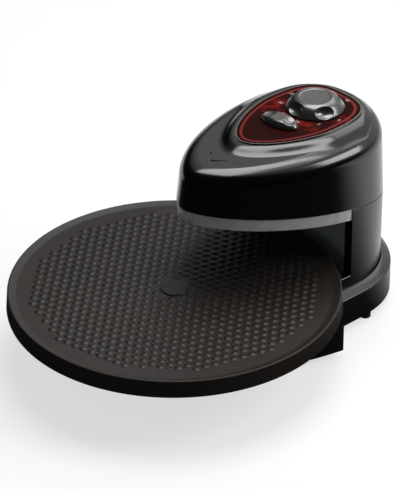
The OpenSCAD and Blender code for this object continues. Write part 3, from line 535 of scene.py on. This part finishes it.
class OVEN_OT_stage(bpy.types.Operator):
    """Floor, lamps, surroundings and camera"""
    bl_idname = "oven.stage"
    bl_label = "Build the stage"

    def execute(self, context):
        look = context.scene.oven_stage
        self.board(look)
        self.surroundings(context.scene, look)
        self.lamps(look)
        self.camera(context.scene, look)
        context.scene.view_settings.view_transform = "Standard"
        return {"FINISHED"}

    def board(self, look):
        """Floor, raised to white in view. For mirror rays it glows white behind the object, painted light
        standing in for a white sweep, and its colour is darkened in front of it, painted shade, as in a
        studio that is open towards the camera."""
        mesh = bpy.data.meshes.new("studio_floor")
        mesh.from_pydata([(-6, -6, 0), (6, -6, 0), (6, 6, 0), (-6, 6, 0)], [], [(0, 1, 2, 3)])
        finish, tree, shader, place = material("Painted board, matt white")
        seen = add(tree, "LightPath").outputs
        along = add(tree, "VectorMath", {0: place, 1: SWEEP}, operation="DOT_PRODUCT")
        behind = add(tree, "MapRange", {"Value": along.outputs["Value"], "From Min": 0.1,
                                                  "From Max": 0.23})
        # painted light: for mirror rays the floor glows white behind the object
        mirrored = add(tree, "Math", {0: seen["Is Glossy Ray"], 1: behind}, operation="MULTIPLY")
        plain = add(tree, "Math", {0: seen["Is Camera Ray"], 1: seen["Is Transmission Ray"]},
                    operation="MAXIMUM")
        raised = add(tree, "Math", {0: plain, 1: mirrored}, operation="MAXIMUM")
        glow = add(tree, "Emission", {
            "Strength": add(tree, "Math", {0: raised, 1: look.lift}, operation="MULTIPLY")})
        # painted shade: for mirror rays the floor's colour falls to 0.08 of itself in front of the object
        painted_shade_in_front = add(tree, "MapRange", {"Value": behind, "To Min": 0.08, "To Max": 1.0})
        share = add(tree, "Mix", {"Factor": seen["Is Glossy Ray"], "A": 1.0, "B": painted_shade_in_front})
        paint = add(tree, "Mix", {"Factor": share, COLOUR_A: (0, 0, 0, 1),
                                            COLOUR_B: linear(look.floor)}, data_type="RGBA")
        fill(tree, shader, {"Base Color": paint.outputs[COLOUR_OUT], "Roughness": 0.9,
                            "Specular IOR Level": 0.0})
        fill(tree, tree.nodes["Material Output"], {
            "Surface": add(tree, "AddShader", {0: shader, 1: glow})})
        mesh.materials.append(finish)
        new_object("studio_floor", mesh)

    def surroundings(self, scene, look):
        """White in view; in mirror reflections the white sweep stands behind the object."""
        scene.world = bpy.data.worlds.new("Studio")
        scene.world.use_nodes = True
        sky = scene.world.node_tree
        sky.nodes.clear()
        ray = add(sky, "LightPath").outputs
        white = add(sky, "Math", {0: ray["Is Camera Ray"], 1: ray["Is Transmission Ray"]},
                    operation="MAXIMUM")
        way = add(sky, "TexCoord").outputs["Generated"]
        behind = add(sky, "VectorMath", {0: way, 1: (-0.1, 0.75, 0.65)}, operation="DOT_PRODUCT")
        sweep = add(sky, "MapRange", {"Value": behind.outputs["Value"], "From Min": 0.5,
                                                "From Max": 0.86, "To Min": 0.01, "To Max": 0.74})
        mirrored = add(sky, "Mix", {"Factor": ray["Is Glossy Ray"], "A": look.sky, "B": sweep})
        strength = add(sky, "Mix", {"Factor": white, "A": mirrored, "B": 1.0})
        add(sky, "OutputWorld", {"Surface": add(sky, "Background", {
            "Color": (1, 1, 1, 1), "Strength": strength})})

    def lamps(self, look):
        """Three softboxes aimed at the head; across sets how each is turned about its beam."""
        aim = Vector((0, 0.05, 0.2))
        for name, power, place, size, across in [
                ("Overhead softbox", look.overhead, (-0.2, 0.36, 1.5), (0.9, 0.95), (1, 0, 0)),
                ("Rear softbox", look.rear, (-0.38, 1.4, 1.4), (1.2, 0.7), (1, 0, 0)),
                ("Side softbox", look.side, (1.05, 1.1, 1.25), (0.8, 0.8), (0, 1, 0))]:
            lamp = bpy.data.lights.new(name, "AREA")
            lamp.shape = "RECTANGLE"
            lamp.size, lamp.size_y = size
            lamp.energy = power
            made = new_object(name, lamp)
            back = (Vector(place) - aim).normalized()
            up = back.cross(Vector(across)).normalized()
            turn = Matrix((up.cross(back), up, back)).transposed().to_4x4()
            made.matrix_world = Matrix.Translation(place) @ turn
            made.visible_camera = False

    def camera(self, scene, look):
        """Camera of the photograph: its place, and its way given level and by a tilt downwards."""
        place, ahead, tilt = (1.7669, -1.6098, 1.5998), Vector((-0.7431, 0.6691, 0)), math.radians(32.02)
        camera = bpy.data.cameras.new("Camera")
        camera.lens = look.lens
        camera.sensor_width = 36.0
        camera.clip_end = 50.0
        made = new_object("Camera", camera)
        made.location = place
        view = ahead * math.cos(tilt) - Vector((0, 0, math.sin(tilt)))
        made.rotation_euler = view.to_track_quat("-Z", "Y").to_euler()
        scene.camera = made


class OVEN_OT_shells(bpy.types.Operator):
    """Moulded shells of head, tower, plinth and lower housing"""
    bl_idname = "oven.shells"
    bl_label = "Build the moulded shells"

    def execute(self, context):
        look = context.scene.oven_shells
        gloss = polished_abs("Polished black ABS", look.gloss, look.head_roughness)
        satin = polished_abs("Satin black ABS", look.satin, look.tower_roughness)
        stands_for(self.head(gloss), "head_shell", "housing")
        stands_for(self.tower(satin), "tower_shell", "housing")
        stands_for(self.plinth(satin), "plinth", "housing")
        smooth_skin("heater_housing", "lower_moulding", satin, "housing", angle=28)
        give(["bottom_cover", "selector_switch"],
             textured_plastic("Spark-eroded black polypropylene", "#161617"))
        give(["rubber_feet", "cord_bushing"], moulded_rubber("Black nitrile rubber", "#131313"))
        return {"FINISHED"}

    def head(self, finish):
        """Outer skin from the seam over the shoulder, deck and platform, then the inner skin back down."""
        bend_r, bend_z, platform_z, ceiling_z, deck_under = 18, 187.12, 212.5, 210, 204
        hollow_r = 16.75
        groove = [(x, y, seam(y)) for x, y in head_line(0.7)]
        lip = [(x, y, seam(y) + 0.7) for x, y in head_line(0)]
        # the side bends in until it leans at 24 degrees
        turns = [math.radians(90 - 6 * i) for i in range(12)]
        side = [level(head_line(3 + bend_r * (1 - math.sin(a))), bend_z + bend_r * math.cos(a))
                for a in turns]
        outer = [groove, lip] + [between(lip, side[0], k / 5) for k in range(1, 5)] + side
        outer += self.top(head_line(13.69), plate_line(3.0))
        outer += [level(plate_line(g), platform_z) for g in (2.2, 1.4, -12)]
        inner = [[(x, y, seam(y)) for x, y in head_line(WALL)]]
        inner += [level(head_line(5.5 + hollow_r * (1 - math.cos(a))),
                        deck_under - hollow_r * (1 - math.sin(a)))
                  for a in (math.radians(18 * i) for i in range(6))]
        inner += [level(plate_line(1.5), deck_under), level(plate_line(1.5), ceiling_z),
                  level(plate_line(-12), ceiling_z)]
        shell = Shell()
        outer_rings, inner_rings = shell.wall(outer), shell.wall(inner)
        rim, hem = outer_rings[0], inner_rings[0]
        for i in range(len(rim)):
            j = (i + 1) % len(rim)
            shell.shape.faces.new((rim[j], rim[i], hem[i], hem[j]))
        shell.cap(outer_rings[-1])
        shell.cap(inner_rings[-1])
        head = shell.finish("head_moulding", finish)

        cuts = Shell()
        for axis in (TIMER_AXIS, SELECTOR_AXIS):
            ring = circle(0, (axis - PAN_AXIS).y / MM, 6, 32)
            cuts.solid([level(ring, 208), level(ring, 214)])
        self.chevron(cuts)
        carve(head, cuts.finish("cutter", finish), 28)
        bosses = Shell()
        bosses.shape.from_mesh(head.data)
        for x, y in [(-44, 212.1), (44, 212.1), (-30, 228.1), (30, 228.1)]:
            bosses.tube(x, y, 141.5, 205.2)
        bpy.data.objects.remove(head)
        return bosses.finish("head_moulding", finish)

    def top(self, edge, brim):
        """Rings from the bend to the control platform. A crown of radius 34 flattens into the deck,
        and the deck swells 6 mm up to the platform over its last 20 mm."""
        deck_z, crown_r, crown_run, swell, swell_run = 206.5, 34.0, 13.83, 6.0, 20.0
        rings = []
        for k in range(1, 41):
            share = 1 - (1 - k / 40) ** 1.4
            ring = []
            for (x0, y0), (x1, y1) in zip(edge, brim):
                span = math.hypot(x1 - x0, y1 - y0)
                lean = max(0.0, crown_run - span * share)
                rise = max(0.0, 1 - span * (1 - share) / swell_run)
                height = deck_z - crown_r + math.sqrt(crown_r ** 2 - lean ** 2)
                height += swell * (0.5 - 0.5 * math.cos(math.pi * rise))
                ring.append((x0 + (x1 - x0) * share, y0 + (y1 - y0) * share, height))
            rings.append(ring)
        return rings

    def chevron(self, cuts):
        """Open tick pressed into the deck near the nose: two curved arms that taper away."""
        reach, tip_y, run, half_width, floor_z = 17 * math.sin(math.radians(43)), 48, 12.4, 1.5, 204.9
        spine = [(reach * i / 12, tip_y + run * abs(i / 12) ** 1.25) for i in range(-12, 13)]
        outer, inner = [], []
        for i, (x, y) in enumerate(spine):
            (x0, y0), (x1, y1) = spine[max(0, i - 1)], spine[min(len(spine) - 1, i + 1)]
            half = half_width * (1 - 0.72 * abs(i - 12) / 12) / math.hypot(x1 - x0, y1 - y0)
            outer.append((x + half * (y1 - y0), y - half * (x1 - x0)))
            inner.append((x - half * (y1 - y0), y + half * (x1 - x0)))
        cuts.band([level(outer, floor_z), level(outer, 208)], [level(inner, floor_z), level(inner, 208)])

    def tower(self, finish):
        """Wall round the back, its low sides beside the mouth, and the frames of the mouth."""
        shell = Shell()
        low = 44.5

        def path(inset, y0, y1, count, right_only=False):
            return spaced(stretch_of(head_line(inset), y0, y1, right_only), count)

        def risen(inset, share):
            return [(x, y, low + (seam(y) - low) * share) for x, y in path(inset, MOUTH, BEHIND, 200)]

        heights = (0, 0.007, 0.25, 0.5, 0.75, 0.993, 1.0)
        shell.band([risen(inset, k) for inset, k in zip((0.6, 0, 0, 0, 0, 0, 0.7), heights)],
                   [risen(WALL, k) for k in heights])
        for side in (1, -1):
            edge, face, back = [[(side * x, y) for x, y in path(inset, AHEAD, MOUTH, 30, True)]
                                for inset in (0.5, 0, WALL)]
            heights = (low, low + 0.6, 56.4, 57)
            shell.band([level(line, z) for line, z in zip((edge, face, face, edge), heights)],
                       [level(back, z) for z in heights])
            x0, x1 = sorted((side * 72.5, side * 81.6))
            frame_plan = [(x0, MOUTH), (x1, MOUTH), (x1, MOUTH + WALL), (x0, MOUTH + WALL)]
            shell.solid([level(frame_plan, 51.5), level(frame_plan, 135.4)])
        return shell.finish("tower_moulding", finish)

    def plinth(self, finish):
        """Straight wall, a crisp edge and a sloping ledge up to the tower's foot."""
        def path(inset, share=0):
            line = teardrop(half=94.3 - 11.3 * share - inset, nose=0, wide=MOUTH,
                            rear=275.98 - 9 * share - inset, front=(6, 6), back=(2.6, 1.6))
            return spaced(stretch_of(line, AHEAD, BEHIND), 220)

        edge_r, edge_z = 1.5, 39.6
        outer = [level(path(0.5), 7.5)] + [level(path(0), z) for z in (8.1, 20, 32)]
        outer += [level(path(edge_r * (1 - math.cos(a))), edge_z - edge_r + edge_r * math.sin(a))
                  for a in (math.radians(75 * i / 6) for i in range(7))]
        inner = [level(path(WALL), z) for z in (7.5, 8.1, 20, 32)]
        inner += [level(path(WALL), 37.0 + 0.1 * i) for i in range(7)]
        for share, over, under in [(0.35, 41.6, 39.0), (0.6, 43.1, 40.4), (0.78, 44.0, 41.4),
                                   (0.88, 44.3, 41.8), (0.98, 44.4, 41.9)]:
            outer.append(level(path(0, share), over))
            inner.append(level(path(WALL, share), under))
        shell = Shell()
        shell.band(outer, inner)
        for x, y in [(-86.3, 149.98), (86.3, 149.98), (-45, 259), (45, 259)]:
            shell.tube(x, y, 9.5, 29.5)
        return shell.finish("plinth_moulding", finish)


class OVEN_OT_steelwork(bpy.types.Operator):
    """Steel band, mouth wall, reflectors, chassis and heating tubes"""
    bl_idname = "oven.steelwork"
    bl_label = "Build the steelwork"

    def execute(self, context):
        band = lined_metal("Brushed stainless steel band", "#e0e0de", "#d2d2cf", roughness=0.42,
                           stretch=(0.04, 0.04, 1), strength=0.12, metal=0.4)
        wall = lined_metal("Bright rolled stainless steel", "#c6d2d2", "#bcc9c9", roughness=0.3,
                           stretch=(0.03, 0.03, 1), strength=0.05, metal=0.35)
        plain = lined_metal("Aluminised steel sheet", "#a9aaa9", "#8c8a84", roughness=0.34,
                            stretch=(1, 0.05, 1), strength=0.1)
        sheath = oxidised_sheath("Oxidised nickel-alloy sheath")
        for node, piece, finish, slot, angle in [
                ("heat_band", "steel_band", band, "sheet_steel", 30),
                ("chamber_wall", "mouth_wall", wall, "sheet_steel", 30),
                ("lower_reflector", "lower_tray", plain, "sheet_steel", 30),
                ("upper_reflector", "upper_tray", plain, "sheet_steel", 30),
                ("lower_element", "lower_heating_tube", sheath, "element_sheath", 40),
                ("upper_element", "upper_heating_tube", sheath, "element_sheath", 40)]:
            smooth_skin(node, piece, finish, "housing", angle)
        give(["heat_shield", "upper_element_clips", "lower_element_clips", "chassis", "timer_case"], plain)
        return {"FINISHED"}


class OVEN_OT_fittings(bpy.types.Operator):
    """Drive, screws, shafts and electrical fittings"""
    bl_idname = "oven.fittings"
    bl_label = "Finish the fittings"

    def execute(self, context):
        plated = plated_steel("Zinc-plated steel", "#b4b5b6")
        give(["cover_screws", "head_screws", "motor_screws", "drive_motor", "drive_spindle", "drive_socket",
              "hub_rivets", "timer_shaft", "selector_shaft", "shaft_nuts"], plated)
        give(["spindle_bush", "timer_bell"], turned_brass("Machined brass"))
        give(["thermal_cutout", "terminal_block"], fired_ceramic("Unglazed steatite"))
        return {"FINISHED"}


def dimple_tree(finish):
    """Node tree that lays bell-shaped dimples on a triangular lattice inside a ring."""
    tree = bpy.data.node_groups.new("Dimple field", "GeometryNodeTree")
    tree.interface.new_socket("Geometry", in_out="OUTPUT", socket_type="NodeSocketGeometry")
    for name, kind in [("Spacing", "Float"), ("Rows", "Int"), ("Field radius", "Float"),
                       ("Bare radius", "Float"), ("Dimple radius", "Float"), ("Dimple height", "Float"),
                       ("Turn", "Float"), ("Centre", "Vector")]:
        tree.interface.new_socket(name, in_out="INPUT", socket_type="NodeSocket" + kind)
    known = dict(add(tree, "NodeGroupInput").outputs.items())
    known["index"] = add(tree, "GeometryNodeInputIndex")
    position = add(tree, "GeometryNodeInputPosition")
    known["x"], known["y"] = add(tree, "SeparateXYZ", {0: position}).outputs[:2]
    for name, way, first, second in [
            # the lattice: points dealt out in rows, every other row half a step along
            ("count", "MULTIPLY", "Rows", "Rows"),
            ("half", "MULTIPLY", "Rows", 0.5), ("half", "FLOOR", "half", 0),
            ("row", "DIVIDE", "index", "Rows"), ("row", "FLOOR", "row", 0),
            ("row", "SUBTRACT", "row", "half"),
            ("column", "MODULO", "index", "Rows"), ("column", "SUBTRACT", "column", "half"),
            ("odd", "FLOORED_MODULO", "row", 2), ("odd", "MULTIPLY", "odd", 0.5),
            ("along", "ADD", "column", "odd"), ("along", "MULTIPLY", "along", "Spacing"),
            ("across", "MULTIPLY", "row", math.sqrt(0.75)), ("across", "MULTIPLY", "across", "Spacing"),
            # which of them lie outside the ring
            ("along squared", "MULTIPLY", "along", "along"), ("far", "MULTIPLY", "across", "across"),
            ("far", "ADD", "far", "along squared"), ("far", "SQRT", "far", 0),
            ("beyond", "SUBTRACT", "Field radius", "Dimple radius"),
            ("beyond", "GREATER_THAN", "far", "beyond"),
            ("within", "ADD", "Bare radius", "Dimple radius"), ("within", "LESS_THAN", "far", "within"),
            ("outside", "MAXIMUM", "beyond", "within"),
            # one dimple, a bell over a disc of radius 1, its foot just under the floor
            ("x squared", "MULTIPLY", "x", "x"), ("bell", "MULTIPLY", "y", "y"),
            ("bell", "ADD", "bell", "x squared"), ("bell", "SQRT", "bell", 0),
            ("bell", "MULTIPLY", "bell", math.pi), ("bell", "COSINE", "bell", 0),
            ("bell", "MULTIPLY", "bell", 0.5), ("bell", "ADD", "bell", 0.5),
            ("z", "MULTIPLY", "bell", "Dimple height"), ("z", "SUBTRACT", "z", 0.03 * MM),
            ("x", "MULTIPLY", "x", "Dimple radius"), ("y", "MULTIPLY", "y", "Dimple radius")]:
        known[name] = add(tree, "Math", {0: known.get(first, first), 1: known.get(second, second)},
                          operation=way)
    place = add(tree, "CombineXYZ", {0: known["along"], 1: known["across"]})
    turned = add(tree, "VectorRotate", {"Vector": place, "Angle": known["Turn"]},
                 rotation_type="Z_AXIS")
    points = add(tree, "GeometryNodePoints", {"Count": known["count"]})
    placed = add(tree, "GeometryNodeSetPosition", {"Geometry": points, "Position": turned,
                                                   "Offset": known["Centre"]})
    kept = add(tree, "GeometryNodeDeleteGeometry", {"Geometry": placed, "Selection": known["outside"]},
               domain="POINT")
    cone = add(tree, "GeometryNodeMeshCone", {"Vertices": 14, "Side Segments": 4, "Fill Segments": 1,
                                              "Radius Top": 0.0, "Radius Bottom": 1.0, "Depth": 1.0},
               fill_type="NGON")
    bent = add(tree, "CombineXYZ", {0: known["x"], 1: known["y"], 2: known["z"]})
    dome = add(tree, "GeometryNodeSetPosition", {"Geometry": cone, "Position": bent})
    many = add(tree, "GeometryNodeInstanceOnPoints", {"Points": kept, "Instance": dome})
    real = add(tree, "GeometryNodeRealizeInstances", {"Geometry": many})
    soft = add(tree, "GeometryNodeSetShadeSmooth", {"Geometry": real})
    painted = add(tree, "GeometryNodeSetMaterial", {"Geometry": soft, "Material": finish})
    add(tree, "NodeGroupOutput", {"Geometry": painted})
    return tree


def grown(name, tree, values):
    """Runs a node tree on an empty mesh and keeps the result as a plain mesh."""
    seed = new_object(name + "_seed", bpy.data.meshes.new(name + "_seed"))
    maker = seed.modifiers.new("Maker", "NODES")
    maker.node_group = tree
    for item in tree.interface.items_tree:
        if item.in_out == "INPUT" and item.name in values:
            maker[item.identifier] = values[item.name]
    mesh = applied(seed)
    mesh.name = name
    bpy.data.objects.remove(seed)
    return new_object(name, mesh)


class OVEN_OT_pan(bpy.types.Operator):
    """Coated pan with its field of raised dimples"""
    bl_idname = "oven.pan"
    bl_label = "Build the pan"

    def execute(self, context):
        look = context.scene.oven_pan
        coating = nonstick_coating("Non-stick coating on pressed aluminium", look.colour, look.roughness)
        stands_for(self.turned_pan(coating), "pan", "pan")
        smooth_skin("hub_cap", "hub_disc", coating, "pan", angle=40, bevel=0.0003)
        low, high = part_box("hub_cap")
        dimples = grown("pan_dimples", dimple_tree(coating), {
            "Spacing": look.spacing, "Rows": 2 * math.ceil(look.field / look.spacing / math.sqrt(0.75)) + 3,
            "Field radius": look.field, "Bare radius": (high.x - low.x) / 2,
            "Dimple radius": look.radius, "Dimple height": look.height, "Turn": look.turn,
            "Centre": (PAN_AXIS.x, PAN_AXIS.y, FLOOR_TOP)})
        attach(dimples, "pan")
        if len(dimples.data.polygons) < 1000:
            raise RuntimeError("the dimple field came out empty")
        return {"FINISHED"}

    def turned_pan(self, coating):
        """Pressed sheet turned round the spindle: floor, sloping rim, rolled lip and skirt. The
        profile's heights are counted from the rim, but for the skirt's end."""
        low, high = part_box("pan")
        rim, foot = high.z / MM, low.z / MM
        thick, rivet_circle, rivet_r = 1.5, 11, 1
        over = [(40, -2.5), (120, -2.5), (159.8, -2.5), (160.8, -2.44), (161.8, -2.25), (166.6, -0.62),
                (167.3, -0.34), (167.9, -0.1), (168.5, 0), (169.1, -0.1), (169.6, -0.45), (169.9, -1.0),
                (170.02, -1.7), (170.3, -6)]
        skirt = [(171.12, foot + 0.8), (171.2, foot + 0.1), (171.0, foot), (169.9, foot),
                 (169.85, foot + 0.8)]
        under = [(169.0, -6), (168.85, -1.7), (168.5, -thick), (167.3, -0.34 - thick), (161.8, -2.25 - thick),
                 (159.8, -2.5 - thick), (120, -2.5 - thick), (40, -2.5 - thick)]
        profile = [(r, rim + z) for r, z in over] + skirt + [(r, rim + z) for r, z in under]
        shell = Shell()
        shell.solid([level(circle(0, 0, r, 288), z) for r, z in profile])
        pan = shell.finish("coated_pan", coating, angle=40)
        holes = Shell()
        for x, y in circle(0, 0, rivet_circle, 3):
            hole = circle(x, y, rivet_r, 24)
            holes.solid([level(hole, rim - 5), level(hole, rim)])
        carve(pan, holes.finish("cutter", coating), 40)
        return pan


class OVEN_OT_plate(bpy.types.Operator):
    """Control plate with its trim, ring and dial figures"""
    bl_idname = "oven.plate"
    bl_label = "Build the control plate"

    def execute(self, context):
        look = context.scene.oven_plate
        # where the red glows, each with its reach
        spots = [(-26, 157, 9), (-29, 173, 8), (-15, 160, 6), (14, 155, 8), (26, 162, 8), (38, 196, 7)]
        overlay = screen_print("Screen-printed polycarbonate", look.dark, look.bright,
                               [(PAN_AXIS + Vector((x, y, PLATE_TOP / MM)) * MM, reach * MM)
                                for x, y, reach in spots])
        give(["control_plate"], overlay)
        trim = lined_metal("Polished aluminium trim", "#85837d", "#6f6d68", 0.26, (0.1, 0.1, 1), 0.05)
        smooth_skin("plate_trim", "bright_trim", trim, "housing", angle=40)
        ring = self.ring(look, printed_ink("Red screen ink", look.ring))
        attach(ring, "housing")
        figures = self.figures(look, printed_ink("Pale grey screen ink", "#b9b2ac"))
        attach(figures, "housing")
        return {"FINISHED"}

    def ring(self, look, red):
        """Printed ring that follows the plate's edge."""
        outer, inner = plate_line(-look.ring_in / MM), plate_line(-(look.ring_in + look.ring_w) / MM)
        low, high = PLATE_TOP / MM - 0.1, PLATE_TOP / MM + 0.06
        shell = Shell()
        shell.wall([level(outer, low), level(outer, high), level(inner, high), level(inner, low)],
                   closed=True)
        return shell.finish("printed_ring", red)

    def figures(self, look, pale):
        """Numbers 0 to 40 round the timer knob, in fives, 36 degrees apart and clockwise."""
        dial_r, first, apart, half_thick = 36.5 * MM, -2, 36, 0.06 * MM
        mesh = bmesh.new()
        for step in range(9):
            turn = math.radians(first - apart * step)
            curve = bpy.data.curves.new("figure", "FONT")
            curve.body = str(5 * step)
            # the em square is this much taller than a figure
            curve.size = look.figure * 1.35
            curve.align_x = curve.align_y = "CENTER"
            curve.extrude = half_thick
            curve.resolution_u = 3
            holder = new_object("figure", curve)
            flat = applied(holder)
            place = TIMER_AXIS + dial_r * Vector((math.cos(turn), math.sin(turn), 0))
            flat.transform(Matrix.Translation(place + Vector((0, 0, PLATE_TOP + 0.02 * MM))))
            mesh.from_mesh(flat)
            bpy.data.objects.remove(holder)
        data = bpy.data.meshes.new("dial_figures")
        mesh.to_mesh(data)
        mesh.free()
        data.materials.clear()
        data.materials.append(pale)
        return new_object("dial_figures", data)


class OVEN_OT_knobs(bpy.types.Operator):
    """Timer knob with finger dents and oval heat selector knob"""
    bl_idname = "oven.knobs"
    bl_label = "Build the knobs"

    def execute(self, context):
        look = context.scene.oven_knobs
        paint = metallic_paint("Metallic grey paint on ABS", look.colour, look.light, look.roughness)
        top = [(4, 11.35), (10, 11.4), (15.4, 11.5), (16.1, 11.65), (16.7, 11.95), (17.3, 12.0), (18.0, 11.9),
               (19.2, 11.65)]
        slope = [(20.6, 11.2), (21.9, 10.6), (23.3, 9.7), (24.7, 8.6), (26.1, 7.2), (27.4, 5.8), (28.6, 4.3),
                 (29.6, 2.9), (30.4, 1.7), (30.9, 0.8), (30.7, 0.25), (30.2, 0.0)]
        dents = [(math.radians(-94.0 + 72 * i), 26.8, 6.4, 12.5, 7.8, 3.9) for i in range(5)]
        grip = self.knob("timer_grip", paint, TIMER_AXIS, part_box("timer_knob")[0].z, top + slope, dents,
                         lean=46, height=12.0)
        stands_for(grip, "timer_knob", "timer")

        profile = [(3, 7.2), (8, 7.3), (12, 7.3), (14.5, 7.0), (16.6, 6.4), (18.4, 5.5), (19.9, 4.4),
                   (21.1, 3.2), (22.0, 2.0), (22.45, 1.0), (22.4, 0.4), (22.1, 0.1), (21.8, 0.0)]
        dents = [(math.radians(a), 12.0, 6.9, 9.0, 8.0, 2.2) for a in (0, 180)]
        grip = self.knob("selector_grip", paint, SELECTOR_AXIS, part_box("selector_knob")[0].z, profile, dents,
                         lean=74, height=7.5, oval=12 / 22.5, turn=math.radians(look.selector_turn))
        stands_for(grip, "selector_knob", "selector")
        return {"FINISHED"}

    def knob(self, name, paint, axis, low, profile, dents, lean, height, oval=1.0, turn=0.0):
        """Profile turned about an axis and pressed in by finger dents. Each dent is (angle, radius,
        height, half width, half height, depth) and looks up by the lean in degrees. Oval is the depth
        for a width of 1. The underside has a recess for the nut and a bore for the shaft."""
        points, step, nut, nut_deep, shaft = 180, 0.55, 8.5, 2.7, 3.0
        up, out = math.sin(math.radians(lean)), math.cos(math.radians(lean))
        fine = [profile[0]]
        for (r0, z0), (r1, z1) in zip(profile, profile[1:]):
            count = max(1, round(math.hypot(r1 - r0, z1 - z0) / step))
            fine += [(r0 + (r1 - r0) * k / count, z0 + (z1 - z0) * k / count) for k in range(1, count + 1)]
        rings = []
        for r, z in fine:
            ring = []
            for x, y in circle(0, 0, r, points):
                place = Vector((x, y * oval, z))
                for angle, far, dent_z, wide, tall, deep in dents:
                    normal = Vector((math.cos(angle) * out, math.sin(angle) * out, up))
                    tangent = Vector((-math.sin(angle), math.cos(angle), 0))
                    away = place - Vector((far * math.cos(angle), far * oval * math.sin(angle), dent_z))
                    share = (away.dot(tangent) / wide) ** 2 + (away.dot(normal.cross(tangent)) / tall) ** 2
                    proud = away.dot(normal) + deep * (1 - share)
                    if share < 1 and proud > 0:
                        place = place - normal * proud
                ring.append(place)
            rings.append(ring)
        rings += [level(circle(0, 0, r, points), z) for r, z in [
            (oval * profile[-1][0] * 0.9, 0.0), (nut, 0.0), (nut, nut_deep), (shaft, nut_deep),
            (shaft, height - 2.0)]]
        base = Matrix.Translation(((axis - PAN_AXIS) / MM) + Vector((0, 0, low / MM)))
        turned = base @ Matrix.Rotation(turn, 4, "Z")
        shell = Shell()
        shell.solid([[turned @ Vector(point) for point in ring] for ring in rings])
        return shell.finish(name, paint, angle=50)


class OVEN_PT_panel(bpy.types.Panel):
    """Lists the operators in the order in which they run"""
    bl_idname = "OVEN_PT_panel"
    bl_label = "Pizza Oven"
    bl_space_type = "VIEW_3D"
    bl_region_type = "UI"
    bl_category = "Pizza Oven"

    def draw(self, context):
        for step in STEPS:
            self.layout.operator(step.bl_idname)


SETTINGS = {"oven_stage": StageSettings, "oven_shells": ShellSettings, "oven_pan": PanSettings,
            "oven_plate": PlateSettings, "oven_knobs": KnobSettings}
STEPS = [OVEN_OT_stage, OVEN_OT_shells, OVEN_OT_steelwork, OVEN_OT_fittings, OVEN_OT_pan, OVEN_OT_plate,
         OVEN_OT_knobs]
CLASSES = [*SETTINGS.values(), *STEPS, OVEN_PT_panel]


def register():
    for cls in CLASSES:
        bpy.utils.register_class(cls)
    for name, cls in SETTINGS.items():
        setattr(bpy.types.Scene, name, PointerProperty(type=cls))


def unregister():
    for name in SETTINGS:
        delattr(bpy.types.Scene, name)
    for cls in reversed(CLASSES):
        bpy.utils.unregister_class(cls)


def main():
    """Builds everything."""
    register()
    bpy.ops.oven.stage()
    bpy.ops.oven.shells()
    bpy.ops.oven.steelwork()
    bpy.ops.oven.fittings()
    bpy.ops.oven.pan()
    bpy.ops.oven.plate()
    bpy.ops.oven.knobs()


if __name__ == "__main__":
    main()
